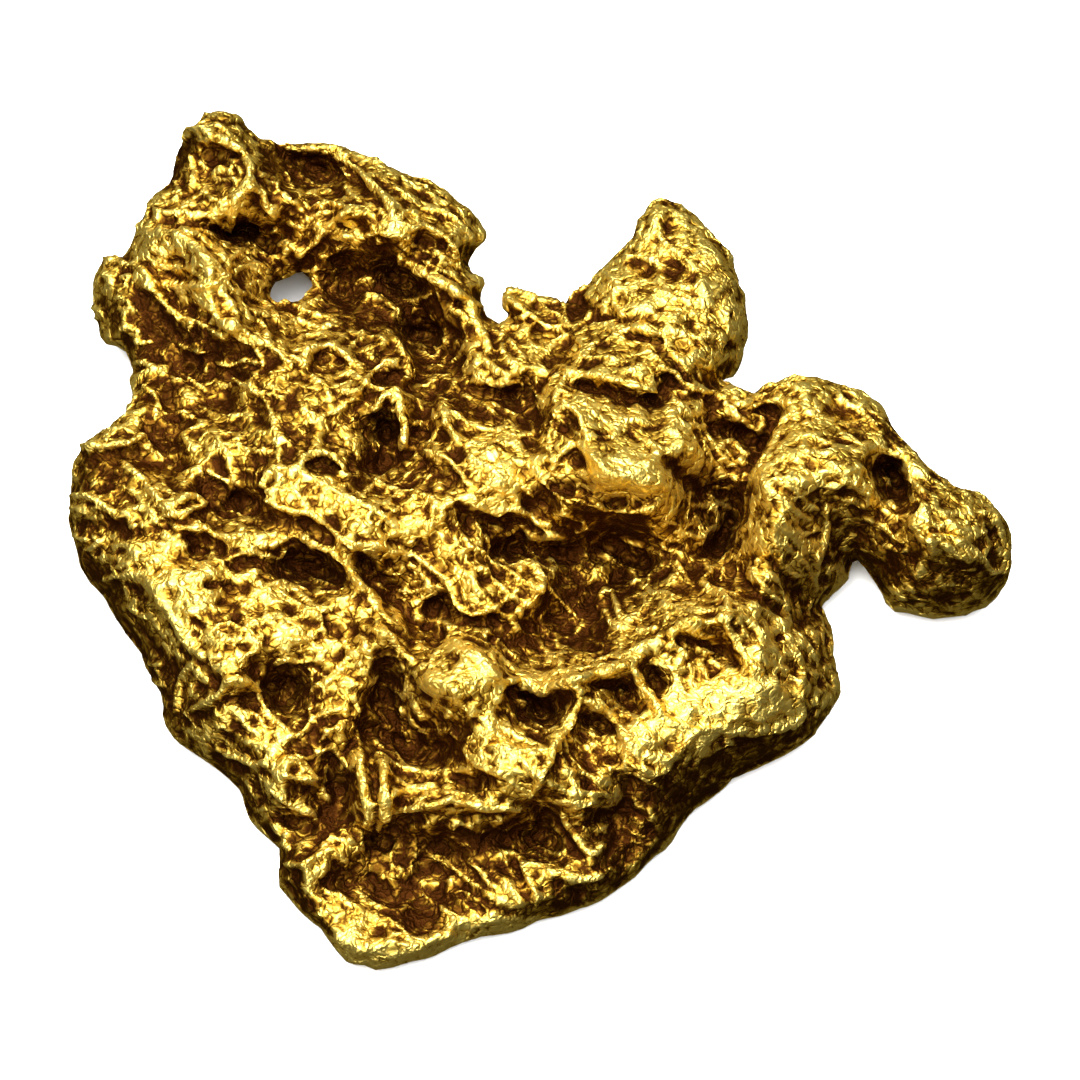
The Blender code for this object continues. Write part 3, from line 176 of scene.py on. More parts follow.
# Thin worn crests: height, half-width, then the line along each, as (across, up) on the sheet.
CRESTS = [
    # knob, its curl and collar
    (0.22, 0.15, [(-10.25, 11.5), (-10.0, 11.72), (-9.6, 11.75), (-9.3, 11.5), (-8.9, 11.35), (-8.5, 11.1),
                  (-8.3, 10.7), (-8.25, 10.35), (-8.4, 10.1)]),
    (0.20, 0.14, [(-8.3, 10.05), (-7.95, 9.9), (-7.75, 9.5), (-7.6, 9.3)]),
    (0.15, 0.08, [(-9.52, 11.7), (-9.5, 11.3)]),
    (0.18, 0.12, [(-9.95, 10.95), (-9.85, 10.5), (-9.95, 10.05)]),
    (0.15, 0.12, [(-9.7, 10.8), (-9.55, 10.65)]),
    (0.18, 0.11, [(-9.3, 10.45), (-9.05, 10.6), (-8.85, 10.5), (-8.7, 10.75), (-8.5, 10.5)]),
    (0.12, 0.10, [(-9.3, 10.3), (-9.0, 10.25), (-8.7, 10.3)]),
    (0.18, 0.13, [(-8.45, 10.05), (-8.65, 9.75), (-8.7, 9.4), (-8.85, 9.05), (-8.95, 8.85)]),
    (0.15, 0.11, [(-8.5, 9.45), (-8.25, 9.25), (-7.95, 9.2), (-7.8, 8.95), (-7.65, 8.75)]),
    (0.15, 0.11, [(-9.6, 9.9), (-9.3, 9.7), (-9.05, 9.55), (-9.1, 9.3)]),
    (0.15, 0.11, [(-10.9, 9.35), (-10.3, 9.3), (-9.8, 9.3), (-9.4, 9.2), (-9.1, 9.0)]),
    (0.12, 0.10, [(-10.4, 10.2), (-10.25, 9.95), (-10.4, 9.7)]),
    (0.12, 0.08, [(-9.3, 12.1), (-8.9, 12.0), (-8.6, 12.05)]),
    # crumbs round the hole
    (0.15, 0.10, [(-8.75, 8.0), (-8.4, 8.2), (-8.05, 8.1)]),
    (0.12, 0.10, [(-8.6, 7.6), (-8.3, 7.75), (-8.0, 7.7)]),
    (0.12, 0.10, [(-8.3, 7.2), (-7.95, 7.3), (-7.7, 7.2)]),
    (0.15, 0.10, [(-7.95, 8.8), (-7.7, 8.65), (-7.5, 8.8)]),
    (0.12, 0.10, [(-7.4, 8.35), (-7.15, 8.5), (-7.0, 8.35), (-7.2, 8.15)]),
    (0.15, 0.09, [(-8.7, 7.0), (-8.3, 6.98), (-8.0, 6.8), (-7.6, 6.5), (-7.4, 6.2)]),
    (0.12, 0.10, [(-6.95, 6.6), (-6.7, 6.5), (-6.75, 6.2), (-7.0, 6.15)]),
    (0.12, 0.10, [(-6.8, 7.7), (-6.6, 7.6), (-6.35, 7.7)]),
    # slab and its streaks
    (0.15, 0.14, [(-10.9, 8.75), (-10.4, 8.7), (-9.95, 8.5), (-9.6, 8.1), (-9.2, 7.75), (-8.9, 7.45)]),
    (0.12, 0.09, [(-10.2, 8.8), (-9.6, 8.6), (-9.2, 8.3), (-8.8, 7.75)]),
    (0.12, 0.12, [(-10.7, 7.75), (-10.3, 7.7), (-9.9, 7.7), (-9.6, 7.5)]),
    (0.12, 0.12, [(-10.75, 7.3), (-10.4, 7.1), (-9.9, 7.15), (-9.5, 7.15), (-9.1, 7.3)]),
    (0.15, 0.13, [(-9.0, 7.0), (-8.75, 6.7), (-8.55, 6.3), (-8.7, 6.05)]),
    (0.10, 0.12, [(-9.5, 6.9), (-9.2, 6.6), (-9.1, 6.3), (-9.3, 6.15)]),
    (0.15, 0.12, [(-11.2, 7.2), (-10.9, 7.05), (-10.6, 6.7), (-10.2, 6.3), (-9.7, 6.15), (-9.3, 5.95),
                  (-8.95, 5.7)]),
    (0.15, 0.10, [(-8.75, 6.1), (-8.5, 5.75), (-8.1, 5.55), (-7.7, 5.5), (-7.4, 5.25), (-7.0, 4.95)]),
    (0.12, 0.10, [(-7.85, 6.1), (-7.7, 5.75), (-7.55, 5.45)]),
    (0.12, 0.12, [(-8.4, 6.5), (-8.2, 6.25), (-7.9, 6.15)]),
    # stub and waist
    (0.12, 0.10, [(-12.35, 7.9), (-12.0, 7.95), (-11.75, 7.85)]),
    (0.15, 0.12, [(-12.35, 7.5), (-12.1, 7.35), (-12.2, 7.15)]),
    (0.12, 0.10, [(-11.85, 7.45), (-11.65, 7.5), (-11.7, 7.2)]),
    (0.12, 0.10, [(-11.95, 6.85), (-11.65, 6.75), (-11.45, 6.5)]),
    (0.12, 0.12, [(-12.6, 6.6), (-12.4, 6.45), (-12.5, 6.25)]),
    (0.15, 0.11, [(-11.8, 5.95), (-11.55, 6.05), (-11.35, 5.9), (-11.3, 5.6)]),
    (0.10, 0.10, [(-11.2, 5.55), (-10.9, 5.6)]),
    (0.12, 0.10, [(-11.4, 4.95), (-11.1, 5.0), (-10.9, 4.85)]),
    (0.12, 0.12, [(-11.1, 4.3), (-10.8, 4.1), (-10.7, 3.8), (-10.8, 3.4)]),
    (0.12, 0.10, [(-10.3, 3.55), (-9.9, 3.6), (-9.7, 3.4)]),
    # far left plate
    (0.15, 0.07, [(-7.3, 11.2), (-6.9, 11.15), (-6.3, 11.2)]),
    (0.18, 0.09, [(-5.85, 10.95), (-5.6, 10.6), (-5.45, 10.35)]),
    (0.22, 0.12, [(-5.8, 11.0), (-5.4, 10.7), (-5.0, 10.4), (-4.7, 10.1), (-4.45, 9.8), (-4.3, 9.5),
                  (-4.2, 9.2)]),
    (0.12, 0.07, [(-7.95, 10.4), (-7.7, 10.35), (-7.5, 10.05), (-7.3, 9.75), (-7.1, 9.6)]),
    (0.10, 0.07, [(-7.3, 9.9), (-6.9, 9.55), (-6.5, 9.5), (-6.1, 9.6), (-5.7, 9.55), (-5.5, 9.75)]),
    (0.10, 0.07, [(-7.1, 9.3), (-6.7, 9.15), (-6.3, 9.3), (-5.9, 9.35)]),
    (0.10, 0.06, [(-7.3, 10.5), (-7.1, 10.1)]),
    (0.10, 0.07, [(-6.6, 9.9), (-6.3, 9.85), (-6.0, 9.95)]),
    (0.20, 0.16, [(-6.8, 8.1), (-6.45, 8.4), (-6.15, 8.75), (-5.85, 9.05), (-5.6, 9.2), (-5.3, 8.95),
                  (-5.1, 8.6)]),
    (0.20, 0.32, [(-5.7, 8.65), (-5.35, 8.6)]),
    (0.15, 0.08, [(-5.55, 9.5), (-5.3, 9.3), (-5.0, 9.35)]),
    (0.12, 0.08, [(-4.9, 9.45), (-4.6, 9.5), (-4.5, 9.3)]),
    (0.18, 0.12, [(-4.9, 8.68), (-4.5, 8.75), (-4.1, 8.7), (-3.8, 8.6)]),
    (0.15, 0.10, [(-4.8, 8.9), (-4.4, 8.92), (-3.9, 8.95), (-3.6, 8.85), (-3.3, 8.95), (-2.95, 8.8),
                  (-2.65, 8.55), (-2.45, 8.3), (-2.4, 7.9), (-2.35, 7.65)]),
    (0.15, 0.10, [(-4.0, 9.2), (-3.8, 9.35), (-3.5, 9.25), (-3.5, 9.0)]),
    (0.10, 0.08, [(-4.4, 10.4), (-4.1, 10.35)]),
    (0.10, 0.08, [(-3.6, 10.2), (-3.2, 10.05)]),
    (0.10, 0.08, [(-3.9, 9.8), (-3.7, 9.65)]),
    (0.10, 0.08, [(-3.2, 9.4), (-2.9, 9.3), (-2.6, 9.4)]),
    (0.10, 0.08, [(-3.0, 8.3), (-2.75, 8.05), (-2.5, 7.8)]),
    (0.10, 0.08, [(-3.6, 8.35), (-3.2, 8.2)]),
    # long smooth ridge and its two beads
    (0.25, 0.20, [(-3.95, 8.05), (-3.4, 7.65), (-2.95, 7.35), (-2.5, 7.1), (-2.15, 6.8), (-1.9, 6.35),
                  (-1.7, 5.9), (-1.5, 5.55)]),
    (0.12, 0.10, [(-3.95, 8.35), (-3.4, 7.95), (-2.9, 7.65), (-2.5, 7.5)]),
    (0.20, 0.15, [(-1.78, 5.5)]),
    (0.22, 0.20, [(-1.48, 5.35)]),
    (0.12, 0.10, [(-1.9, 7.45), (-1.65, 7.3), (-1.6, 7.15)]),
    # in the dark hollow
    (0.15, 0.10, [(-4.9, 6.95), (-4.5, 6.85), (-4.15, 6.6), (-4.0, 6.45)]),
    (0.12, 0.10, [(-4.7, 6.6), (-4.4, 6.5)]),
    (0.15, 0.10, [(-3.6, 6.4), (-3.45, 6.8), (-3.1, 6.95)]),
    (0.15, 0.14, [(-2.5, 6.5), (-2.2, 6.35), (-2.0, 6.15)]),
    (0.12, 0.08, [(-3.35, 5.3), (-3.05, 5.1), (-2.85, 5.25), (-2.95, 5.45)]),
    (0.10, 0.06, [(-2.7, 5.95), (-2.65, 5.5)]),
    (0.10, 0.08, [(-5.3, 7.2), (-5.0, 7.4), (-4.7, 7.5)]),
    (0.10, 0.08, [(-4.3, 7.8), (-4.0, 7.5)]),
    (0.10, 0.07, [(-6.2, 6.8), (-5.95, 6.6)]),
    (0.12, 0.10, [(-6.2, 5.9), (-5.95, 6.05)]),
    # arches of the middle left
    (0.20, 0.12, [(-6.6, 5.3), (-6.3, 5.45), (-5.95, 5.5), (-5.6, 5.3), (-5.35, 5.05)]),
    (0.15, 0.12, [(-5.3, 5.5), (-5.1, 5.65), (-5.0, 5.8)]),
    (0.20, 0.12, [(-4.5, 5.6), (-4.2, 5.65), (-3.95, 5.4), (-3.8, 5.0), (-3.7, 4.6)]),
    (0.15, 0.12, [(-5.4, 4.1), (-5.0, 4.3), (-4.7, 4.7), (-4.4, 4.95), (-4.0, 5.05)]),
    (0.12, 0.10, [(-6.4, 4.6), (-6.1, 4.4), (-5.9, 4.1)]),
    (0.12, 0.10, [(-5.7, 4.7), (-5.3, 4.65), (-5.0, 4.5)]),
    (0.10, 0.10, [(-7.4, 5.6), (-7.1, 5.5)]),
    (0.25, 0.12, [(-4.6, 3.7), (-4.4, 4.05), (-4.15, 4.15), (-3.95, 3.8), (-3.8, 3.3), (-3.8, 2.7)]),
    (0.15, 0.08, [(-4.2, 4.0), (-4.05, 3.6)]),
    (0.20, 0.15, [(-2.75, 3.75), (-2.65, 3.4), (-2.5, 3.0), (-2.3, 2.8)]),
    (0.12, 0.10, [(-2.7, 3.6), (-2.3, 3.5)]),
    (0.10, 0.08, [(-3.4, 3.9), (-3.3, 3.7)]),
    (0.12, 0.09, [(-1.8, 5.0), (-1.65, 4.65), (-1.4, 4.35), (-1.15, 4.3), (-0.8, 4.4), (-0.6, 4.45)]),
    (0.12, 0.09, [(-1.4, 4.9), (-1.2, 4.65), (-1.0, 4.75), (-0.85, 4.6)]),
    (0.10, 0.07, [(-0.5, 4.4), (-0.5, 4.0), (-0.45, 3.8)]),
    (0.10, 0.07, [(-0.2, 4.3), (0.0, 4.0)]),
    # rough terrace of the middle left
    (0.15, 0.10, [(-9.1, 5.0), (-8.7, 4.9), (-8.3, 5.1), (-7.8, 4.95)]),
    (0.12, 0.10, [(-8.6, 4.5), (-8.1, 4.2), (-7.6, 4.1), (-7.2, 4.0)]),
    (0.12, 0.10, [(-10.2, 5.5), (-9.8, 5.35), (-9.4, 5.3)]),
    (0.10, 0.08, [(-9.9, 4.6), (-9.4, 4.2)]),
    (0.20, 0.11, [(-6.6, 2.25), (-6.4, 2.4), (-6.1, 2.45), (-5.8, 2.3), (-5.5, 2.05)]),
    (0.18, 0.11, [(-7.75, 1.5), (-7.65, 1.85), (-7.4, 1.95), (-7.2, 1.75), (-7.3, 1.45), (-7.6, 1.35)]),
    (0.12, 0.09, [(-7.3, 2.3), (-7.25, 2.0)]),
    (0.20, 0.16, [(-10.1, 1.05), (-9.85, 1.22), (-9.5, 1.2), (-9.3, 1.02), (-9.6, 0.9), (-9.95, 0.75)]),
    (0.15, 0.13, [(-9.25, 1.9), (-9.0, 1.75), (-8.75, 1.65)]),
    (0.18, 0.12, [(-7.6, 1.1), (-7.0, 0.8), (-6.5, 0.75), (-6.1, 0.6), (-5.8, 0.3), (-5.5, 0.0),
                  (-5.2, -0.2)]),
    (0.18, 0.12, [(-6.6, 0.05), (-6.2, -0.15), (-5.75, -0.3), (-5.5, -0.55), (-5.3, -0.8), (-5.1, -1.1)]),
    (0.18, 0.13, [(-12.8, 2.6), (-12.4, 2.65), (-12.1, 2.6), (-11.6, 2.7), (-11.3, 2.8), (-11.1, 2.85)]),
    (0.12, 0.11, [(-11.0, 2.6), (-10.7, 2.4), (-10.5, 2.25)]),
    (0.12, 0.13, [(-11.7, 2.2), (-11.3, 1.9), (-11.0, 1.7), (-10.9, 1.4), (-10.6, 1.2)]),
    (0.15, 0.11, [(-13.0, 1.2), (-12.7, 1.25), (-12.3, 1.1), (-12.0, 0.85), (-11.7, 0.65), (-11.5, 0.7)]),
    (0.12, 0.10, [(-13.0, 0.9), (-12.6, 0.8), (-12.3, 0.9)]),
    (0.12, 0.10, [(-12.9, 0.15), (-12.6, 0.0)]),
    (0.15, 0.11, [(-12.4, 0.1), (-12.2, -0.05), (-12.6, -0.3)]),
    (0.12, 0.10, [(-11.4, 0.35), (-11.0, 0.45), (-10.6, 0.6), (-10.3, 0.7)]),
    (0.18, 0.12, [(-10.1, 0.35), (-9.7, 0.35), (-9.3, 0.3), (-9.0, 0.15), (-8.6, 0.05), (-8.2, 0.1)]),
    (0.12, 0.12, [(-11.8, -0.2), (-11.2, -0.1), (-10.6, -0.1), (-10.3, -0.2)]),
    (0.12, 0.12, [(-11.8, -0.8), (-11.2, -0.6), (-10.7, -0.5)]),
    (0.15, 0.12, [(-8.6, -0.5), (-8.2, -0.35), (-7.7, -0.4), (-7.2, -0.5), (-7.1, -0.3)]),
    (0.10, 0.08, [(-8.4, -1.1), (-8.1, -1.0), (-7.9, -1.0)]),
    # top edge of the long left wall
    (0.18, 0.20, [(-12.0, -1.05), (-11.5, -0.95), (-10.9, -0.95), (-10.7, -1.3), (-10.4, -1.7), (-10.1, -2.1),
                  (-9.9, -2.6), (-9.5, -3.0), (-9.3, -3.2)]),
    (0.15, 0.10, [(-11.4, -1.8), (-11.1, -2.0), (-10.85, -2.15)]),
    (0.12, 0.10, [(-10.6, -3.85), (-10.3, -4.0)]),
    (0.12, 0.10, [(-10.7, -3.4), (-10.4, -3.4)]),
    (0.18, 0.13, [(-9.9, -4.7), (-9.9, -4.2), (-9.8, -3.7), (-9.55, -3.4)]),
    (0.18, 0.13, [(-9.7, -4.7), (-9.2, -4.5), (-8.8, -4.2), (-8.5, -3.85), (-8.3, -3.8), (-7.9, -4.0),
                  (-7.75, -4.15)]),
    (0.12, 0.10, [(-9.4, -3.6), (-9.2, -3.9)]),
    (0.12, 0.10, [(-8.9, -2.8), (-8.6, -2.8), (-8.3, -2.7), (-8.0, -2.75)]),
    (0.12, 0.09, [(-8.9, -2.4), (-8.5, -2.3), (-8.2, -2.5)]),
    (0.15, 0.12, [(-7.7, -2.6), (-7.8, -3.0), (-8.1, -3.2), (-8.5, -3.3), (-8.9, -3.5)]),
    (0.12, 0.11, [(-7.5, -1.3), (-7.1, -1.2), (-6.6, -1.5), (-6.3, -1.8), (-5.9, -1.9), (-5.6, -1.8)]),
    (0.12, 0.11, [(-7.6, -2.0), (-7.3, -2.4), (-6.9, -2.2)]),
    (0.12, 0.12, [(-6.9, -2.7), (-6.5, -2.8), (-6.2, -2.6)]),
    (0.12, 0.12, [(-7.3, -3.4), (-6.9, -3.3), (-6.4, -3.3), (-6.0, -3.3)]),
    (0.15, 0.12, [(-5.9, -4.1), (-5.6, -3.6), (-5.3, -3.3)]),
    (0.12, 0.12, [(-5.4, -4.0), (-4.9, -4.0)]),
    # ledges of the centre
    (0.18, 0.11, [(-3.15, 2.45), (-2.8, 2.4), (-2.5, 2.2), (-2.2, 1.85), (-2.0, 1.6)]),
    (0.18, 0.12, [(-1.95, 1.25), (-1.8, 0.98), (-1.5, 0.85), (-1.2, 0.8), (-0.9, 0.9), (-0.6, 0.9),
                  (-0.3, 0.7),
                  (0.0, 0.5), (0.3, 0.4)]),
    (0.15, 0.09, [(-0.5, 0.4), (-0.3, 0.15), (0.0, 0.05), (0.4, 0.1)]),
    (0.12, 0.09, [(0.6, 0.75), (0.85, 0.65), (1.2, 0.5), (1.3, 0.3), (1.0, 0.15)]),
    (0.10, 0.08, [(-1.1, 0.1), (-0.7, 0.25)]),
    (0.12, 0.09, [(-4.9, 1.3), (-4.6, 1.6), (-4.3, 1.7)]),
    (0.12, 0.07, [(-4.8, 0.7), (-4.5, 0.95), (-4.2, 1.1), (-3.8, 1.3)]),
    (0.12, 0.07, [(-4.5, 0.45), (-4.2, 0.7), (-3.9, 0.9), (-3.5, 1.2)]),
    (0.12, 0.07, [(-4.7, 1.0), (-4.3, 0.6)]),
    (0.15, 0.12, [(-3.1, 0.35), (-2.95, 0.7), (-2.9, 1.0)]),
    (0.10, 0.07, [(-3.9, 0.5), (-3.4, 0.8)]),
    (0.20, 0.12, [(-5.0, -0.1), (-4.5, -0.15), (-4.0, -0.35), (-3.5, -0.4), (-3.2, -0.6), (-2.9, -0.9),
                  (-2.6, -1.15), (-2.4, -1.55), (-2.2, -1.9), (-1.9, -2.05), (-1.6, -2.0), (-1.3, -1.9),
                  (-1.0, -1.7), (-0.7, -1.6)]),
    (0.15, 0.11, [(-2.5, -0.4), (-2.1, -0.35), (-1.9, -0.2), (-1.7, -0.1)]),
    (0.20, 0.14, [(-0.55, -0.75), (-0.3, -0.65), (-0.1, -0.85), (0.1, -1.1), (0.0, -1.4)]),
    (0.20, 0.14, [(-0.62, -1.15)]),
    (0.18, 0.12, [(-0.7, -1.45)]),
    (0.15, 0.12, [(-1.7, -0.8), (-1.5, -0.9)]),
    (0.12, 0.10, [(-4.3, -0.9), (-4.0, -0.95), (-3.8, -0.8)]),
    (0.12, 0.10, [(-3.9, -1.4), (-3.6, -1.45), (-3.3, -1.4), (-3.1, -1.3)]),
    (0.18, 0.15, [(-5.4, -0.3), (-5.3, -0.8), (-5.0, -1.3), (-4.7, -1.5), (-4.5, -1.8)]),
    (0.18, 0.16, [(-4.9, -2.4), (-4.5, -2.5), (-4.1, -2.7), (-3.8, -3.1), (-3.5, -3.35)]),
    (0.18, 0.14, [(-2.75, -2.3)]),
    (0.15, 0.10, [(-2.5, -2.45)]),
    (0.20, 0.20, [(-2.4, -2.9), (-2.0, -3.0), (-1.7, -3.2), (-1.4, -3.6), (-1.1, -4.0), (-1.2, -4.4)]),
    # long bright rim of the valley
    (0.25, 0.16, [(-0.9, -3.9), (-0.6, -3.85), (-0.3, -4.0), (0.1, -4.1), (0.5, -4.0), (1.0, -3.85),
                  (1.5, -3.7),
                  (2.0, -3.55), (2.4, -3.4), (2.7, -3.1), (3.0, -2.9), (3.3, -2.85)]),
    (0.18, 0.14, [(3.6, -2.6), (4.0, -2.3), (4.4, -2.3)]),
    # valley floor
    (0.10, 0.09, [(2.7, -2.5), (3.2, -2.4)]),
    (0.18, 0.12, [(1.7, -1.4), (2.0, -1.4), (2.1, -1.8), (2.2, -2.1)]),
    (0.18, 0.12, [(1.65, -0.85)]),
    (0.18, 0.13, [(4.7, -0.95), (4.5, -1.2), (4.8, -1.4), (5.1, -1.5), (5.2, -1.8)]),
    (0.12, 0.09, [(5.1, -0.8), (5.0, -1.1)]),
    (0.12, 0.10, [(3.2, -0.8), (3.5, -0.75)]),
    (0.12, 0.10, [(3.4, -0.2), (3.7, -0.3), (3.9, -0.35)]),
    (0.10, 0.08, [(3.8, -0.6), (4.0, -0.95), (4.1, -1.1)]),
    (0.12, 0.10, [(4.1, 0.15), (4.4, 0.05), (4.6, 0.2), (4.8, 0.35)]),
    (0.10, 0.08, [(3.5, 0.5), (3.8, 0.45)]),
    (0.12, 0.09, [(4.3, 1.0), (4.7, 0.9), (5.0, 1.0), (5.3, 0.9)]),
    (0.12, 0.12, [(4.7, 1.2)]),
    (0.10, 0.08, [(4.9, 1.5), (5.3, 1.45)]),
    (0.10, 0.08, [(2.3, -1.1), (2.6, -1.2), (2.9, -1.1)]),
    (0.12, 0.09, [(3.8, -1.85), (4.2, -1.95), (4.7, -1.85)]),
    (0.15, 0.11, [(5.0, 2.6), (5.3, 2.8), (5.5, 2.6), (5.8, 2.4), (5.6, 2.15), (5.3, 2.1), (5.1, 2.3)]),
    (0.15, 0.12, [(5.6, 3.4), (5.9, 3.2), (6.1, 3.1)]),
    (0.15, 0.14, [(3.55, 1.45)]),
    # nose
    (0.12, 0.09, [(0.3, 3.3), (0.3, 2.9), (0.25, 2.5)]),
    (0.18, 0.12, [(0.5, 3.6), (0.7, 3.8), (0.95, 3.7), (1.15, 3.4), (1.3, 3.0)]),
    (0.18, 0.13, [(0.35, 2.0), (0.5, 2.3), (0.8, 2.6), (1.1, 2.7), (1.4, 2.4), (1.7, 2.1)]),
    (0.18, 0.12, [(0.95, 4.5), (1.3, 4.6), (1.7, 4.6), (2.1, 4.5), (2.5, 4.35), (2.9, 4.3), (3.2, 4.2)]),
    (0.12, 0.10, [(0.4, 3.9), (0.55, 4.3), (0.8, 4.7), (1.1, 5.1)]),
    (0.18, 0.11, [(3.4, 4.9), (3.8, 4.7), (4.0, 4.4), (4.3, 4.25), (4.8, 4.1), (5.1, 4.0), (5.25, 3.75)]),
    (0.15, 0.12, [(5.0, 4.45), (5.3, 4.25), (5.7, 4.05), (5.9, 3.9), (5.5, 3.75)]),
    (0.15, 0.15, [(4.3, 3.2), (4.7, 3.15)]),
    (0.18, 0.25, [(4.15, 2.55)]),
    # crumbs between the plates
    (0.15, 0.08, [(-0.95, 6.5), (-0.95, 7.0), (-0.7, 7.1), (-0.4, 6.95), (-0.15, 6.8)]),
    (0.15, 0.09, [(-0.6, 6.2), (-0.35, 6.35), (-0.1, 6.2), (-0.35, 5.9)]),
    (0.15, 0.08, [(0.65, 6.7), (0.75, 6.3), (0.8, 6.0)]),
    (0.12, 0.08, [(0.2, 6.0), (0.5, 5.95), (0.75, 5.8), (0.4, 5.5), (0.1, 5.2)]),
    (0.12, 0.09, [(-1.1, 5.9), (-0.8, 5.6), (-0.6, 5.3), (-0.4, 5.1)]),
    (0.10, 0.07, [(-0.3, 5.6), (-0.3, 5.1)]),
    # fin
    (0.12, 0.10, [(0.8, 6.9), (1.1, 7.1), (1.3, 7.2)]),
    (0.12, 0.13, [(1.9, 7.5), (2.2, 7.3), (2.1, 6.8), (2.3, 6.4)]),
    (0.10, 0.10, [(2.7, 6.7), (3.1, 6.5)]),
    (0.12, 0.08, [(1.9, 5.6), (2.2, 5.9), (2.7, 5.95), (3.2, 5.9)]),
    (0.10, 0.10, [(0.9, 4.8), (1.2, 5.2), (1.8, 5.8), (2.3, 6.05)]),
    (0.10, 0.10, [(2.0, 7.8), (2.6, 8.0), (3.2, 7.9), (3.8, 7.6)]),
    (0.10, 0.09, [(2.8, 8.7), (3.2, 8.6), (3.6, 8.4)]),
    (0.10, 0.08, [(3.9, 7.0), (4.3, 6.8), (4.8, 6.9)]),
    (0.10, 0.08, [(4.1, 5.8), (4.5, 5.7), (4.9, 5.8)]),
    # right body
    (0.15, 0.10, [(6.85, 3.4), (6.7, 3.1), (6.6, 2.8), (6.4, 2.5), (6.1, 2.1), (5.9, 1.8), (5.75, 1.4)]),
    (0.12, 0.10, [(6.0, 1.2), (5.95, 0.8), (5.8, 0.4), (5.6, 0.1)]),
    (0.15, 0.18, [(5.6, 0.1)]),
    (0.15, 0.15, [(6.35, -0.25)]),
    (0.15, 0.14, [(6.05, -0.6)]),
    (0.12, 0.11, [(6.5, 1.3), (6.9, 1.0), (7.2, 0.7), (7.5, 0.6)]),
    (0.12, 0.11, [(6.3, 1.6), (6.7, 1.7), (7.1, 1.4), (7.4, 1.1), (7.7, 0.9)]),
    (0.12, 0.11, [(6.2, 0.6), (6.6, 0.35), (7.0, 0.2), (7.4, 0.2), (7.7, 0.3)]),
    (0.15, 0.13, [(6.8, -0.15), (7.1, -0.4), (7.4, -0.7), (7.6, -1.1)]),
    (0.15, 0.12, [(7.95, 0.9), (7.95, 0.4), (7.9, -0.1), (7.75, -0.5), (7.6, -1.1)]),
    (0.12, 0.18, [(6.8, 2.3), (7.1, 2.3)]),
    (0.12, 0.15, [(7.4, 2.5), (7.8, 2.4), (8.3, 2.5), (8.8, 2.3)]),
    (0.12, 0.15, [(8.0, 1.9), (8.5, 1.9), (8.9, 2.0)]),
    (0.12, 0.11, [(7.9, 1.6), (8.3, 1.5), (8.5, 1.6)]),
    (0.12, 0.10, [(8.3, 1.2), (8.7, 1.1), (9.0, 0.95)]),
    (0.12, 0.10, [(6.5, 2.0), (6.7, 1.6), (7.0, 1.9)]),
    (0.12, 0.12, [(5.9, -1.0), (6.3, -1.4), (6.6, -1.7), (6.9, -1.9)]),
    # arm and its knob
    (0.12, 0.08, [(8.35, 4.1), (8.5, 3.85), (8.9, 3.65), (9.2, 3.4), (9.4, 3.25)]),
    (0.10, 0.07, [(8.8, 3.9), (9.1, 3.6)]),
    (0.12, 0.08, [(9.2, 1.6), (9.15, 1.2), (9.1, 0.9)]),
    (0.12, 0.08, [(9.6, 2.6), (9.9, 2.45), (10.2, 2.25)]),
    (0.18, 0.11, [(10.1, 2.0), (10.35, 1.7), (10.6, 1.4), (10.75, 1.25)]),
    (0.12, 0.10, [(9.7, 1.65)]),
    (0.18, 0.14, [(9.7, 1.0), (9.85, 0.9)]),
    (0.10, 0.07, [(10.2, 1.4), (10.35, 1.1)]),
    (0.15, 0.16, [(10.7, 0.9), (10.75, 0.5), (10.4, 0.4)]),
    (0.15, 0.13, [(11.0, 0.4), (11.3, 0.45), (11.6, 0.3)]),
    (0.12, 0.10, [(11.9, 0.5)]),
    (0.12, 0.10, [(12.1, 0.1), (12.4, 0.3)]),
    (0.20, 0.12, [(12.3, 0.75), (12.55, 0.7), (12.75, 0.4), (12.85, 0.0), (12.9, -0.5), (12.8, -0.85),
                  (12.5, -0.85), (12.2, -0.5), (11.9, -0.2), (11.6, -0.1)]),
    (0.15, 0.09, [(9.6, -0.1), (9.85, -0.25), (10.2, -0.3)]),
    (0.12, 0.08, [(9.9, -1.6), (10.15, -1.6)]),
    (0.12, 0.08, [(10.2, -1.3), (10.4, -1.4)]),
    (0.12, 0.08, [(11.25, -1.75), (11.35, -1.85)]),
    # near right lobe
    (0.15, 0.14, [(5.5, -1.95)]),
    (0.12, 0.12, [(5.4, -2.3)]),
    (0.15, 0.12, [(5.0, -2.1), (5.3, -2.6), (5.6, -3.1), (5.8, -3.4), (6.1, -3.6)]),
    (0.10, 0.10, [(5.9, -2.3), (6.2, -2.7), (6.5, -3.1)]),
    (0.15, 0.13, [(5.8, -1.8), (6.3, -2.0), (6.7, -2.3), (6.9, -2.8)]),
    (0.20, 0.14, [(6.9, -2.9), (7.1, -3.3), (7.2, -3.8), (7.1, -4.3), (7.15, -4.8), (6.9, -5.1)]),
    (0.18, 0.14, [(2.6, -3.6), (2.9, -4.1), (3.2, -4.5), (3.3, -4.7)]),
    (0.18, 0.13, [(1.2, -4.4), (1.6, -4.55), (1.9, -4.7), (2.2, -5.1), (2.4, -5.5)]),
    (0.18, 0.18, [(2.4, -5.7), (2.8, -5.95), (3.3, -6.05), (3.7, -5.9), (4.0, -5.5), (4.4, -5.2), (4.9, -5.1),
                  (5.3, -5.25), (5.9, -5.3), (6.5, -5.15), (6.9, -5.0)]),
    (0.12, 0.11, [(3.5, -2.95), (3.8, -2.95), (4.0, -3.2)]),
    (0.12, 0.12, [(4.6, -3.3), (4.9, -3.5), (5.1, -3.6)]),
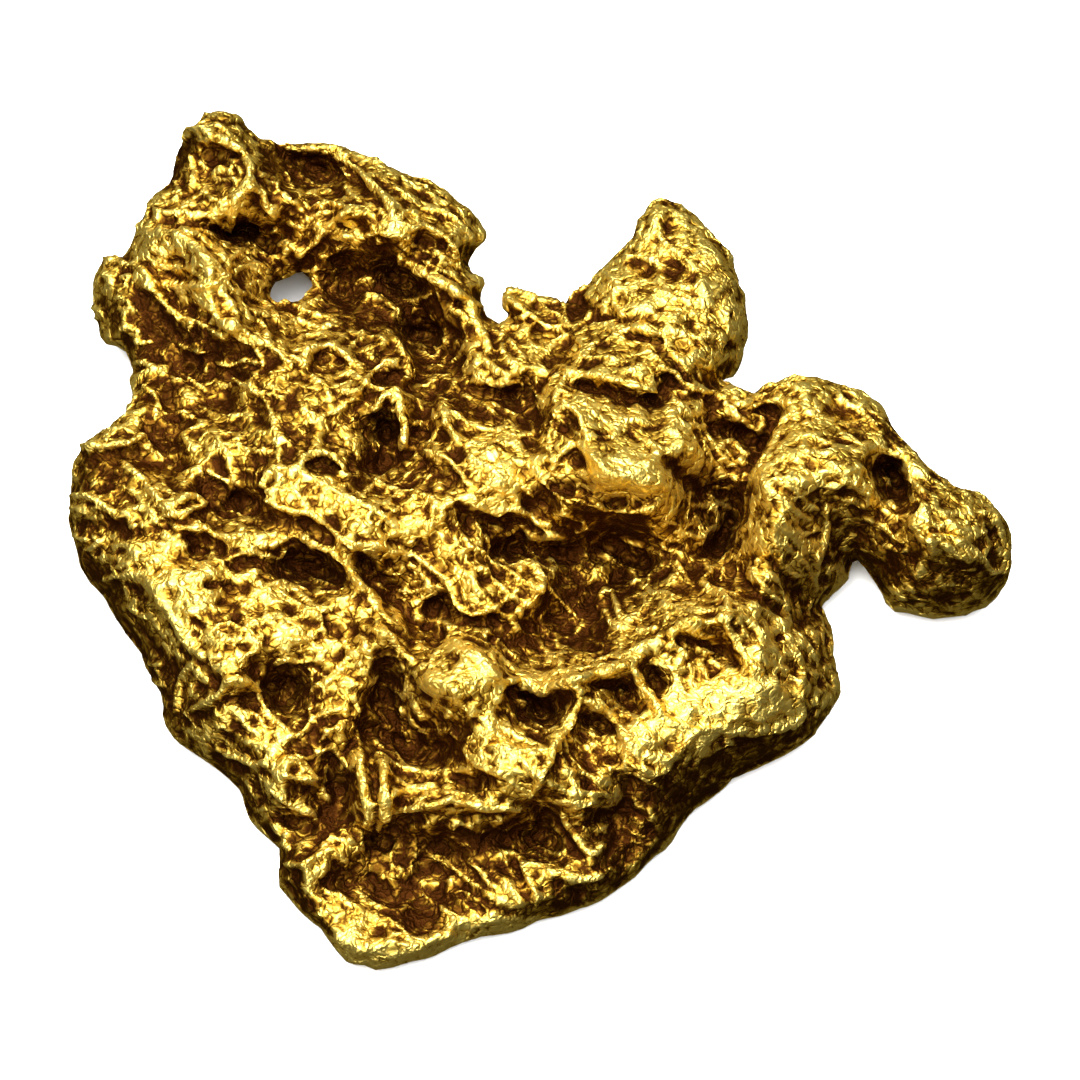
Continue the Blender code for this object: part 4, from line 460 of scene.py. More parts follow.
    (0.12, 0.13, [(3.7, -3.7)]),
    (0.10, 0.07, [(4.1, -3.4), (4.15, -3.9)]),
    (0.15, 0.15, [(6.75, -3.6)]),
    (0.12, 0.13, [(5.8, -3.6)]),
    (0.12, 0.13, [(4.5, -4.2), (5.0, -4.2)]),
    (0.12, 0.18, [(4.6, -4.8), (4.5, -5.0)]),
    (0.12, 0.14, [(6.0, -4.9), (6.4, -4.7)]),
    (0.12, 0.14, [(6.6, -4.1)]),
    (0.15, 0.15, [(7.9, -3.5)]),
    (0.15, 0.12, [(7.6, -4.2), (7.5, -4.5)]),
    (0.12, 0.10, [(5.1, -5.5), (5.3, -5.6)]),
    # branch and small ledge below the rim
    (0.20, 0.13, [(1.15, -4.2), (0.95, -4.7), (0.7, -5.2), (0.4, -5.6), (0.2, -6.1), (0.0, -6.6),
                  (-0.3, -6.9)]),
    (0.15, 0.12, [(0.3, -6.65), (0.8, -6.9), (1.3, -6.9), (1.8, -6.95)]),
    (0.15, 0.12, [(1.85, -7.0)]),
    (0.15, 0.18, [(0.7, -6.3), (0.9, -6.35)]),
    (0.12, 0.12, [(1.3, -5.7), (1.5, -5.6)]),
    (0.12, 0.18, [(-1.2, -5.7), (-0.9, -5.7)]),
    (0.12, 0.18, [(-0.7, -6.2), (-0.4, -6.4)]),
    (0.12, 0.14, [(-1.7, -4.4), (-1.9, -4.8)]),
    (0.12, 0.12, [(-1.8, -6.1), (-1.4, -6.3), (-1.1, -6.4)]),
    # hump and bars
    (0.12, 0.12, [(-3.7, -4.2), (-3.6, -3.7), (-3.2, -3.4)]),
    (0.15, 0.22, [(-3.0, -3.9), (-2.6, -4.0), (-2.2, -4.2)]),
    (0.15, 0.18, [(-2.5, -4.8)]),
    (0.15, 0.12, [(-3.8, -4.6), (-3.6, -4.9), (-3.3, -5.2), (-3.0, -5.2)]),
    (0.12, 0.09, [(-3.5, -4.5), (-3.2, -4.9)]),
    (0.20, 0.10, [(-4.9, -5.9), (-4.85, -6.6), (-4.7, -7.2), (-4.6, -7.7)]),
    (0.25, 0.12, [(-4.3, -6.1), (-4.25, -6.7), (-4.2, -7.3), (-4.4, -7.8)]),
    (0.15, 0.11, [(-4.8, -7.7), (-4.5, -7.9), (-4.2, -7.75)]),
    (0.15, 0.14, [(-4.0, -6.9), (-3.4, -6.8), (-2.9, -6.7)]),
    (0.15, 0.13, [(-4.0, -7.4), (-3.4, -7.3), (-2.8, -7.2), (-2.3, -7.0)]),
    (0.15, 0.14, [(-2.0, -7.2), (-1.4, -7.3), (-0.9, -7.3), (-0.6, -7.3)]),
    (0.18, 0.17, [(-2.4, -7.8)]),
    (0.15, 0.15, [(-1.9, -7.8)]),
    (0.18, 0.12, [(-7.5, -6.5), (-7.2, -6.9), (-6.8, -7.2), (-6.3, -7.4)]),
    (0.12, 0.12, [(-6.9, -6.4), (-6.4, -6.5), (-6.0, -6.5)]),
    (0.10, 0.07, [(-5.8, -6.0), (-5.85, -6.6)]),
    (0.18, 0.15, [(-6.8, -8.8), (-6.4, -8.85), (-6.1, -8.6), (-5.7, -8.5), (-5.3, -8.7)]),
    (0.12, 0.13, [(-5.9, -8.3), (-5.6, -8.1), (-5.2, -8.2)]),
    (0.12, 0.12, [(-7.0, -8.2), (-6.8, -8.4)]),
    (0.15, 0.22, [(-4.9, -11.1), (-4.5, -10.9), (-4.0, -10.9), (-3.4, -11.0), (-2.9, -10.8), (-2.5, -10.6)]),
    (0.12, 0.18, [(-3.8, -9.0)]),
    (0.12, 0.14, [(-3.2, -9.3)]),
    (0.12, 0.18, [(-2.4, -9.2)]),
    (0.15, 0.13, [(-1.9, -8.7), (-1.6, -9.0), (-1.3, -9.4)]),
    (0.18, 0.13, [(-0.4, -8.8), (-0.3, -9.2), (-0.1, -9.6), (-0.1, -9.9)]),
    (0.18, 0.13, [(-1.0, -9.2), (-0.7, -9.5), (-0.5, -9.8)]),
    (0.18, 0.16, [(0.2, -9.0), (0.6, -9.1), (1.1, -9.2), (1.6, -9.1)]),
    (0.15, 0.13, [(1.0, -8.1), (1.2, -8.4), (1.5, -8.5), (1.7, -8.3)]),
    (0.15, 0.13, [(0.6, -7.5), (0.8, -7.8)]),
    (0.12, 0.14, [(2.7, -8.5)]),
    (0.10, 0.16, [(3.0, -7.6)]),
    (0.18, 0.15, [(-8.8, -5.7), (-8.4, -5.9), (-7.9, -6.1), (-7.5, -6.1), (-7.3, -5.7), (-6.9, -5.4),
                  (-6.5, -5.3), (-6.2, -4.9), (-5.8, -4.7), (-5.3, -4.6)]),
    (0.15, 0.12, [(-7.7, -4.3), (-7.5, -4.7), (-7.2, -5.0), (-6.9, -5.2)]),
    (0.12, 0.10, [(-8.3, -4.6)]),
    (0.12, 0.10, [(-8.8, -5.1), (-8.5, -5.2)]),
    (0.12, 0.14, [(-8.0, -5.5), (-7.6, -5.6)]),
]

# Pits, slots and hollows: depth, half-width, then the line along the bottom.
HOLLOWS = [
    # knob and the pits round it
    (0.20, 0.20, [(-10.15, 11.35), (-10.35, 11.0), (-10.4, 10.6)]),
    (0.20, 0.14, [(-9.9, 11.4), (-9.7, 11.2)]),
    (0.15, 0.09, [(-9.35, 11.3)]),
    (0.20, 0.11, [(-9.3, 11.05), (-8.9, 11.1), (-8.6, 10.95)]),
    (0.20, 0.14, [(-9.6, 10.95), (-9.3, 10.9)]),
    (0.20, 0.13, [(-9.65, 10.5), (-9.4, 10.5)]),
    (0.20, 0.11, [(-10.15, 9.95), (-10.1, 10.2)]),
    (0.30, 0.20, [(-8.15, 9.8), (-8.1, 9.6)]),
    (0.15, 0.08, [(-9.7, 9.7), (-9.4, 9.65)]),
    (0.30, 0.13, [(-10.9, 9.05), (-10.2, 9.0), (-9.6, 8.95), (-9.2, 8.8)]),
    (0.20, 0.15, [(-9.6, 8.75), (-9.15, 8.5)]),
    (0.35, 0.28, [(-8.7, 8.6), (-8.3, 8.6)]),
    (0.30, 0.18, [(-8.6, 8.9), (-8.2, 8.95)]),
    (0.20, 0.08, [(-10.3, 7.97), (-10.0, 7.95)]),
    (0.20, 0.09, [(-10.35, 7.4), (-9.95, 7.35), (-9.75, 7.45)]),
    (0.20, 0.07, [(-10.0, 6.6), (-9.7, 6.55)]),
    (0.10, 0.16, [(-11.15, 8.3), (-11.05, 8.15)]),
    (0.20, 0.10, [(-8.3, 6.8), (-7.9, 6.65)]),
    (0.20, 0.28, [(-7.5, 7.9), (-7.1, 7.9)]),
    (0.20, 0.18, [(-7.7, 8.2), (-7.6, 7.6)]),
    (0.15, 0.14, [(-8.7, 7.4), (-8.4, 7.5)]),
    # far left plate
    (0.25, 0.33, [(-7.6, 11.0), (-7.0, 10.8), (-6.4, 10.7), (-5.9, 10.5)]),
    (0.20, 0.18, [(-7.85, 11.3), (-7.9, 11.0)]),
    (0.15, 0.23, [(-6.2, 10.3), (-5.8, 10.2)]),
    (0.20, 0.15, [(-5.3, 10.4), (-5.1, 10.15), (-4.85, 9.85), (-4.6, 9.5), (-4.6, 9.15)]),
    (0.15, 0.14, [(-5.0, 9.15), (-4.8, 9.0)]),
    (0.20, 0.08, [(-3.4, 8.52), (-3.1, 8.4), (-2.75, 8.35)]),
    (0.15, 0.07, [(-4.1, 9.9), (-4.0, 9.8)]),
    (0.30, 0.18, [(-4.85, 8.35), (-4.4, 8.3), (-4.05, 8.35)]),
    (0.15, 0.15, [(-1.95, 8.25), (-2.1, 7.9)]),
    # big dark hollow
    (0.30, 0.38, [(-5.7, 8.0), (-5.1, 8.0), (-4.6, 7.8), (-4.2, 7.6)]),
    (0.30, 0.33, [(-6.0, 7.4), (-5.9, 6.9), (-5.4, 6.8)]),
    (0.25, 0.25, [(-5.2, 6.6), (-4.9, 6.3)]),
    (0.25, 0.28, [(-3.7, 7.3), (-3.4, 7.2)]),
    (0.30, 0.28, [(-3.4, 6.5), (-3.0, 6.5)]),
    (0.50, 0.28, [(-3.55, 5.85), (-3.1, 5.85)]),
    (0.50, 0.22, [(-3.1, 5.6)]),
    (0.30, 0.15, [(-2.5, 5.9), (-2.2, 5.75)]),
    (0.25, 0.13, [(-2.7, 6.85), (-2.3, 6.65)]),
    (0.20, 0.14, [(-2.6, 5.1), (-2.2, 5.6)]),
    # between the arches
    (0.25, 0.11, [(-6.35, 4.95), (-6.0, 4.9)]),
    (0.25, 0.11, [(-5.8, 5.0), (-5.45, 5.0)]),
    (0.30, 0.19, [(-4.5, 4.65), (-4.2, 4.5), (-4.0, 4.75)]),
    (0.20, 0.12, [(-4.4, 5.3), (-4.15, 5.35)]),
    (0.25, 0.22, [(-4.9, 4.0), (-4.8, 4.2)]),
    (0.30, 0.22, [(-4.5, 3.4), (-4.3, 3.1), (-4.2, 2.7)]),
    (0.25, 0.22, [(-5.0, 3.3), (-4.9, 3.0)]),
    (0.30, 0.18, [(-3.3, 3.0), (-3.5, 2.7), (-3.7, 2.4)]),
    (0.35, 0.25, [(-5.2, 2.0), (-4.8, 2.1), (-4.4, 2.3), (-4.0, 2.2)]),
    (0.20, 0.18, [(-5.2, 1.6)]),
    (0.25, 0.23, [(-3.2, 2.1), (-2.8, 1.9), (-2.5, 1.5)]),
    (0.20, 0.11, [(-3.8, 1.5), (-3.6, 1.5)]),
    (0.30, 0.22, [(-2.0, 4.3), (-1.6, 4.1), (-1.0, 4.15), (-0.6, 4.1)]),
    (0.20, 0.18, [(-2.1, 3.9), (-1.8, 3.8)]),
    (0.25, 0.18, [(0.0, 3.6), (0.2, 3.2)]),
    (0.25, 0.16, [(-2.2, 5.1), (-2.5, 4.9)]),
    # under the slab, and the rough terrace
    (0.35, 0.33, [(-11.0, 6.7), (-10.7, 6.2), (-10.2, 5.85), (-9.6, 5.75), (-9.2, 5.5)]),
    (0.30, 0.23, [(-10.3, 5.2), (-9.9, 4.9), (-9.6, 5.0)]),
    (0.25, 0.17, [(-9.2, 4.8), (-8.7, 4.6), (-8.2, 4.6), (-7.7, 4.75)]),
    (0.20, 0.18, [(-9.9, 4.4), (-9.6, 4.1)]),
    (0.25, 0.18, [(-10.5, 3.9), (-10.3, 3.7), (-10.1, 3.3)]),
    (0.20, 0.18, [(-9.6, 3.8), (-9.2, 3.8)]),
    (0.30, 0.26, [(-10.8, 2.95), (-10.4, 2.7), (-10.0, 2.4), (-10.2, 2.0)]),
    (0.20, 0.18, [(-10.3, 1.7)]),
    (0.25, 0.15, [(-12.7, 2.35), (-12.2, 2.4), (-11.7, 2.45), (-11.3, 2.5)]),
    (0.20, 0.22, [(-12.5, 1.9), (-12.0, 1.9)]),
    (0.20, 0.13, [(-12.3, 1.4), (-11.7, 1.4), (-11.3, 1.1)]),
    (0.25, 0.13, [(-12.9, 0.45), (-12.4, 0.45), (-11.9, 0.45), (-11.5, 0.3), (-11.0, 0.2), (-10.4, 0.35)]),
    (0.30, 0.11, [(-10.5, 0.55), (-10.1, 0.55), (-9.6, 0.62)]),
    (0.60, 0.33, [(-9.2, 1.3), (-8.8, 1.2), (-8.4, 1.1), (-8.0, 1.05)]),
    (0.60, 0.28, [(-8.8, 0.8)]),
    (0.30, 0.16, [(-9.4, 0.7)]),
    (0.30, 0.18, [(-7.6, 0.7), (-7.0, 0.5), (-6.5, 0.45), (-6.1, 0.25), (-5.9, 0.0)]),
    (0.20, 0.16, [(-8.0, 0.4), (-7.5, 0.3)]),
    (0.35, 0.33, [(-6.9, -0.6), (-6.4, -0.7), (-5.9, -0.8), (-5.6, -1.0)]),
    (0.25, 0.22, [(-6.9, -1.0), (-6.3, -1.05)]),
    (0.20, 0.12, [(-9.8, 0.0), (-9.3, -0.05), (-8.9, -0.2)]),
    (0.30, 0.13, [(-8.4, -0.75), (-8.0, -0.7), (-7.6, -0.8)]),
    (0.30, 0.13, [(-9.3, -1.25), (-8.9, -1.2), (-8.4, -1.35), (-8.1, -1.4)]),
    (0.20, 0.13, [(-8.8, -1.7), (-8.6, -1.75)]),
    (0.20, 0.10, [(-7.8, -1.8), (-7.7, -2.1)]),
    (0.20, 0.10, [(-8.4, -2.15)]),
    (0.20, 0.13, [(-9.5, -2.25), (-9.3, -2.3)]),
    (0.15, 0.09, [(-9.5, -2.6)]),
    (0.20, 0.13, [(-8.6, -2.98), (-8.2, -2.95)]),
    (0.20, 0.13, [(-6.6, -2.2), (-6.2, -2.3), (-5.7, -2.4)]),
    (0.30, 0.15, [(-6.4, 2.1), (-6.1, 2.15), (-5.7, 2.05)]),
    (0.20, 0.09, [(-7.45, 1.65)]),
    (0.20, 0.12, [(-7.7, 2.2), (-7.6, 2.4)]),
    (0.20, 0.13, [(-5.9, 3.4), (-5.8, 3.2)]),
    # crack and pockets of the centre
    (0.35, 0.12, [(-4.95, -0.5), (-4.75, -1.1), (-4.4, -1.5), (-3.9, -1.75), (-3.7, -2.1), (-3.5, -2.5),
                  (-3.1, -2.75), (-2.7, -2.65)]),
    (0.25, 0.10, [(-4.4, -0.5), (-4.1, -0.65)]),
    (0.30, 0.20, [(-3.2, -1.9), (-2.7, -1.6), (-2.4, -2.0)]),
    (0.25, 0.11, [(-3.2, -0.8), (-2.9, -1.2)]),
    (0.35, 0.18, [(-2.1, -2.25), (-1.6, -2.3), (-1.1, -2.1), (-0.8, -1.9)]),
    (0.20, 0.20, [(-1.9, -2.7), (-1.4, -2.8)]),
    (0.25, 0.13, [(-2.2, -0.6), (-2.0, -0.8)]),
    (0.25, 0.14, [(-1.6, -1.15), (-1.2, -1.0)]),
    (0.35, 0.20, [(-2.0, 0.6), (-1.4, 0.5), (-0.8, 0.5), (-0.4, 0.4)]),
    (0.30, 0.18, [(-2.3, 0.3), (-1.6, 0.2)]),
    (0.30, 0.23, [(-1.2, -0.3), (-0.5, -0.3), (0.1, -0.3), (0.5, -0.2)]),
    (0.20, 0.07, [(-0.2, 0.35), (0.05, 0.25)]),
    # nose and the slots behind it
    (0.35, 0.19, [(0.7, 3.2), (0.85, 3.15)]),
    (0.35, 0.21, [(1.0, 2.3), (1.1, 2.1)]),
    (0.40, 0.15, [(1.15, 4.35), (1.6, 4.25), (2.0, 4.1), (2.4, 3.95), (2.9, 3.9), (3.2, 3.95)]),
    (0.25, 0.18, [(2.0, 3.8), (2.3, 3.7)]),
    (0.30, 0.11, [(1.6, 3.0), (1.9, 2.95)]),
    (0.30, 0.35, [(0.2, 1.3), (0.9, 1.2), (1.3, 0.9), (1.8, 0.7), (2.4, 0.6), (3.0, 0.6)]),
    (0.30, 0.22, [(3.5, 2.3), (3.8, 2.0), (4.1, 1.6), (4.4, 1.3)]),
    (0.30, 0.10, [(4.2, 4.1), (4.6, 4.0), (5.1, 3.9), (5.2, 3.7)]),
    (0.30, 0.11, [(3.4, 4.65), (3.7, 4.5), (4.0, 4.3)]),
    # valley
    (0.35, 0.42, [(0.9, -0.3), (1.4, 0.0), (1.0, 0.1)]),
    (0.30, 0.28, [(0.6, -1.1), (1.0, -1.0)]),
    (0.35, 0.33, [(0.9, -1.7), (1.4, -1.7)]),
    (0.35, 0.28, [(1.0, -2.9), (1.5, -2.7)]),
    (0.30, 0.28, [(2.3, -0.5), (2.9, -0.6)]),
    (0.25, 0.28, [(0.2, -2.2), (-0.5, -2.7)]),
    (0.20, 0.28, [(4.4, -0.4), (4.9, -0.3), (5.3, -0.2)]),
    (0.35, 0.23, [(5.3, 0.5), (5.5, 0.9), (5.6, 1.3), (5.7, 1.8)]),
    # crack beside the right body
    (0.60, 0.13, [(5.6, 3.65), (6.0, 3.6), (6.6, 3.6)]),
    (0.60, 0.17, [(6.55, 3.4), (6.4, 3.1), (6.2, 2.8), (6.1, 2.4), (5.9, 2.1), (5.7, 1.7), (5.65, 1.3)]),
    (0.45, 0.28, [(4.9, 3.2), (5.3, 3.1), (5.7, 2.9), (6.0, 2.7)]),
    (0.30, 0.14, [(5.4, -0.7), (5.3, -1.2)]),
    # crumbs and fin
    (0.30, 0.18, [(0.3, 6.6), (0.6, 6.6)]),
    (0.20, 0.11, [(-0.15, 6.6)]),
    (0.25, 0.18, [(0.2, 4.85), (0.6, 5.1), (0.8, 5.6)]),
    (0.20, 0.09, [(-0.9, 5.6), (-0.8, 5.3)]),
    (0.20, 0.16, [(1.0, 5.9), (1.2, 6.2)]),
    (0.35, 0.20, [(1.2, 6.75), (1.4, 6.6)]),
    (0.30, 0.09, [(1.4, 6.15), (1.9, 6.3), (2.3, 6.2), (2.7, 6.25)]),
    (0.25, 0.12, [(3.05, 7.6)]),
    (0.20, 0.08, [(3.1, 7.0)]),
    (0.20, 0.11, [(3.4, 9.1)]),
    (0.20, 0.11, [(3.4, 6.5)]),
    (0.30, 0.08, [(2.5, 5.7), (2.9, 5.7), (3.4, 5.55)]),
    (0.25, 0.16, [(5.1, 4.8), (5.5, 4.75)]),
    (0.25, 0.09, [(5.2, 5.4), (5.35, 5.5)]),
    (0.20, 0.10, [(3.7, 6.1), (3.9, 6.0)]),
    # right body
    (0.20, 0.13, [(6.6, 1.4), (6.9, 1.25)]),
    (0.20, 0.11, [(7.2, 1.2), (7.6, 1.0)]),
    (0.20, 0.13, [(6.6, 0.7), (7.0, 0.5), (7.3, 0.35)]),
    (0.20, 0.11, [(8.4, 1.45), (8.8, 1.3), (8.9, 1.1)]),
    (0.30, 0.18, [(6.4, -0.7), (6.8, -1.0), (7.1, -1.4)]),
    (0.30, 0.16, [(5.6, -1.0), (5.9, -1.5), (6.5, -1.9)]),
    (0.25, 0.18, [(7.9, -0.6), (8.2, -0.3)]),
    (0.30, 0.18, [(7.2, -1.8), (7.4, -2.2)]),
    # arm
    (0.40, 0.28, [(9.4, 2.0), (9.7, 2.2), (9.8, 1.9)]),
    (0.30, 0.23, [(10.1, 1.8), (10.2, 1.3)]),
    (0.20, 0.18, [(9.5, 1.4)]),
    (0.25, 0.11, [(12.4, 0.35), (12.6, 0.0), (12.6, -0.4)]),
    # near right lobe and the pockets left of it
    (0.40, 0.18, [(1.5, -4.05), (2.0, -4.0), (2.4, -3.95)]),
    (0.35, 0.13, [(2.8, -3.5), (3.0, -3.6), (3.3, -4.0)]),
    (0.30, 0.15, [(2.4, -4.3), (2.8, -4.6)]),
    (0.30, 0.15, [(4.0, -2.75), (4.6, -2.85), (5.1, -3.1), (5.4, -3.4)]),
    (0.20, 0.10, [(6.4, -2.3)]),
    (0.20, 0.10, [(6.5, -2.65)]),
    (0.20, 0.10, [(3.5, -4.7), (3.7, -4.8)]),
    (0.50, 0.23, [(-0.7, -4.2), (-0.2, -4.4), (0.4, -4.35), (0.8, -4.3)]),
    (0.40, 0.23, [(-0.5, -4.8), (0.1, -4.8)]),
    (0.35, 0.15, [(1.2, -4.9), (1.7, -5.1)]),
    (0.20, 0.13, [(0.55, -5.9)]),
    (0.25, 0.22, [(1.5, -6.2), (2.0, -6.0)]),
    # round the hump
    (0.20, 0.10, [(-3.4, -4.2), (-3.0, -4.4), (-2.6, -4.5)]),
    (0.35, 0.32, [(-4.3, -3.4), (-4.2, -4.0), (-4.4, -4.6)]),
    (0.35, 0.35, [(-4.9, -5.2), (-4.3, -5.2), (-3.8, -5.5)]),
    (0.40, 0.37, [(-3.4, -5.7), (-2.8, -5.6), (-2.3, -5.6)]),
    (0.50, 0.20, [(-2.1, -6.6), (-1.6, -6.6)]),
    (0.25, 0.11, [(-1.0, -6.6)]),
    # near left terrace
    (0.50, 0.33, [(-7.3, -4.0), (-6.8, -4.0), (-7.1, -4.4)]),
    (0.30, 0.15, [(-7.1, -4.8), (-6.9, -5.0)]),
    (0.30, 0.18, [(-8.1, -3.6), (-7.8, -3.7)]),
    (0.30, 0.15, [(-9.4, -4.0), (-9.0, -4.1), (-8.9, -3.85)]),
    (0.30, 0.11, [(-9.3, -4.8), (-8.9, -4.6), (-8.5, -4.4), (-8.0, -4.3)]),
    (0.20, 0.14, [(-8.6, -5.3)]),
    (0.25, 0.16, [(-7.8, -4.9)]),
    # near tiers
    (0.30, 0.18, [(-6.9, -5.8), (-6.4, -5.7), (-5.9, -5.6)]),
    (0.30, 0.16, [(-6.7, -6.8), (-6.3, -6.8)]),
    (0.35, 0.27, [(-5.3, -6.6), (-5.4, -7.2), (-5.6, -7.8)]),
    (0.35, 0.08, [(-4.6, -6.2), (-4.5, -6.9), (-4.45, -7.5)]),
    (0.30, 0.18, [(-7.1, -7.5), (-6.6, -7.8)]),
    (0.35, 0.37, [(-4.4, -8.2), (-3.4, -8.2), (-2.2, -8.3), (-1.2, -8.1), (-0.2, -8.2), (0.2, -7.6)]),
    (0.30, 0.37, [(-5.6, -9.1), (-4.8, -9.2), (-4.2, -9.6)]),
    (0.30, 0.37, [(-4.0, -9.8), (-3.0, -9.8), (-2.0, -9.7)]),
    (0.30, 0.28, [(-3.4, -10.4), (-2.6, -10.2)]),
    (0.30, 0.32, [(1.4, -7.5), (2.1, -7.5), (2.2, -8.2)]),
    (0.30, 0.28, [(2.5, -6.6), (3.0, -6.8), (3.5, -7.0)]),
    (0.30, 0.16, [(0.6, -9.5), (1.3, -9.6)]),
]

# Pockets that are shallower here than in the solid.
FILLED = [
    (0.40, 0.55, [(-8.5, 8.6), (-8.2, 8.6)]),
    (0.22, 0.35, [(-0.6, -4.4), (0.6, -4.3)]),
    (0.25, 0.30, [(1.6, -4.1), (2.3, -4.1)]),
    (0.20, 0.35, [(4.3, -2.9), (5.1, -3.2)]),
]

# Faces rubbed bright, partly painted highlight where faces catch the light, and dark patches, stains in part
# and painted shade on the near walls and in hollows: strength, radius, then the middle line of each.
RUBBED_AND_HIGHLIT = [
    (0.30, 0.70, [(-10.9, 8.4), (-10.2, 7.6), (-9.4, 6.8)]),
    (0.15, 0.60, [(-9.3, 10.3), (-8.9, 9.6)]),
    (0.35, 0.35, [(-5.6, 8.7), (-5.3, 8.6)]),
    (0.15, 0.50, [(-3.9, 9.2), (-2.8, 8.9)]),
    (0.55, 0.80, [(1.5, 2.0), (2.9, 1.6)]),
    (0.30, 0.70, [(1.6, 3.4), (3.6, 2.6)]),
    (0.20, 0.45, [(-6.8, 1.3), (-5.9, 1.2)]),
    (0.25, 0.60, [(7.2, 2.2), (8.5, 2.1)]),
    (0.15, 0.60, [(6.6, 0.3), (7.5, 0.2)]),
    (0.60, 1.00, [(3.0, -5.1), (4.6, -4.6), (6.3, -4.3)]),
    (0.30, 0.60, [(-0.8, -3.8), (1.0, -3.8), (2.6, -3.4)]),
    (0.25, 0.40, [(6.0, -2.3), (6.8, -3.0)]),
    (0.30, 0.50, [(-1.5, -3.9), (-1.5, -4.9), (-1.1, -5.4)]),
    (0.25, 0.45, [(-2.8, -3.9), (-2.3, -4.3)]),
    (0.35, 0.50, [(-10.4, -1.2), (-9.9, -2.0), (-9.6, -2.7)]),
    (0.20, 0.60, [(-11.5, -0.5), (-10.6, -0.5)]),
    (0.20, 0.60, [(-7.2, -1.7), (-6.6, -2.8), (-5.8, -3.7)]),
    (0.60, 0.50, [(-5.2, -11.1), (-3.8, -11.2), (-2.5, -10.8)]),
    (0.15, 0.80, [(2.2, 7.0), (4.5, 6.6)]),
    (0.15, 0.50, [(-3.6, 0.6), (-3.0, 0.2)]),
    (0.15, 0.60, [(-1.4, 2.4), (-1.0, 1.6)]),
    (0.20, 0.40, [(-1.8, -1.4), (-1.2, -1.5)]),
]
STAINS_AND_SHADE = [
    (0.60, 0.70, [(-12.9, -0.6), (-12.3, -1.5), (-11.3, -2.9), (-10.7, -4.2), (-10.1, -5.3)]),
    (0.50, 0.50, [(-9.2, -6.1), (-8.2, -6.9), (-7.4, -7.8)]),
    (0.45, 0.50, [(-7.2, -8.9), (-6.6, -9.7), (-5.9, -10.5)]),
    (0.55, 0.65, [(7.6, -5.4), (6.0, -5.9), (4.6, -6.5), (3.3, -7.3), (2.5, -8.7), (0.9, -9.9)]),
    (0.45, 0.80, [(9.6, -0.7), (10.8, -0.9), (12.0, -1.2)]),
    (0.30, 0.40, [(9.2, 0.2), (9.9, 0.1)]),
    (0.20, 0.90, [(0.5, -1.4), (2.5, -1.0), (4.5, -0.3)]),
    (0.40, 1.20, [(-5.6, 7.4), (-3.6, 6.5)]),
    (0.40, 0.65, [(-7.5, 10.9), (-6.0, 10.5)]),
    (0.45, 0.50, [(-10.4, 11.1), (-10.4, 10.3)]),
    (0.55, 0.60, [(-11.0, 6.4), (-9.8, 5.7), (-8.7, 4.9)]),
    (0.20, 0.80, [(-12.0, 6.5), (-11.3, 5.8)]),
    (0.15, 0.60, [(-12.2, 5.9), (-12.0, 5.5)]),
    (0.25, 0.80, [(-4.4, -8.4), (-2.0, -8.6), (0.0, -8.0)]),
    (0.25, 0.70, [(-3.6, -9.8), (-1.6, -10.0)]),
    (0.20, 0.60, [(-5.6, -6.6), (-5.4, -7.6)]),
    (0.20, 0.60, [(-4.6, -5.4), (-2.6, -5.6)]),
    (0.22, 1.30, [(-8.6, 4.6), (-7.4, 2.8)]),
    (0.35, 0.80, [(-10.9, 5.2), (-10.4, 3.4)]),
    (0.30, 0.50, [(-12.8, 2.0), (-11.7, 1.8)]),
    (0.30, 0.60, [(-2.6, 4.2), (-0.7, 3.6)]),
    (0.30, 0.60, [(0.3, 0.8), (2.6, 0.4)]),
    (0.30, 0.60, [(-0.8, -2.6), (1.4, -2.8)]),
    (0.35, 0.40, [(9.9, 3.4), (10.9, 2.6), (11.9, 1.6)]),
    (0.15, 0.60, [(-4.5, 3.0), (-4.6, 2.2)]),
]


def facing_station(points, normals, at_edge):
    """1 where the skin faces the station, falling through this value where it turns away, and 0 behind."""
    sight = station - points
    sight /= np.linalg.norm(sight, axis=1)[:, None]
    return np.clip((normals * sight).sum(1) * 4 + at_edge, 0, 1)


# Blender's vector noise starts from the clock unless it is given a seed.
noise.seed_set(4)


def creases(points, size, seed, thinness=3.5):
    """Thin crooked crests of about this size: 1 along a crest, 0 in the flat hollows between them."""
    spots = [Vector(point) for point in points / size + seed]
    across = [abs(noise.noise(spot + 0.6 * noise.noise_vector(0.7 * spot))) for spot in spots]
    return np.clip(1 - thinness * np.array(across), 0, 1) ** 1.5


def swells(points, size, seed):
    """Smooth rises and falls of about this size, between -1 and 1."""
    return np.array([noise.noise(Vector(point)) for point in points / size + seed])


def shifts(points, size, seed):
    """Smooth moves to every side, which bend straight things over about this distance."""
    return np.array([noise.noise_vector(Vector(point)) for point in points / size + seed])


def skin_tree(points):
    return BVHTree.FromPolygons(points.tolist(), [tuple(face.vertices) for face in skin.data.polygons])


# How thick the sheet of gold is under each point. Thin places are worked less, so that none is cut through.
DEEPEST_LOOK = 3.0
JUST_INSIDE = 0.03
STURDY_THICKNESS = 0.7
LEAST_WORK = 0.1
points, normals, edges = read_points(), read_normals(), read_edges()
faces_station = facing_station(points, normals, 0.5)
tree = skin_tree(points)
thickness = np.full((len(points), 1), DEEPEST_LOOK)
for i, (point, normal) in enumerate(zip(points, normals)):
    distance = tree.ray_cast(Vector(point - JUST_INSIDE * normal), Vector(-normal), DEEPEST_LOOK)[3]
    if distance is not None:
        thickness[i] = distance
thickness = spread_out(thickness, edges, 4)[:, 0]
sturdy = np.clip(thickness / STURDY_THICKNESS, LEAST_WORK, 1)

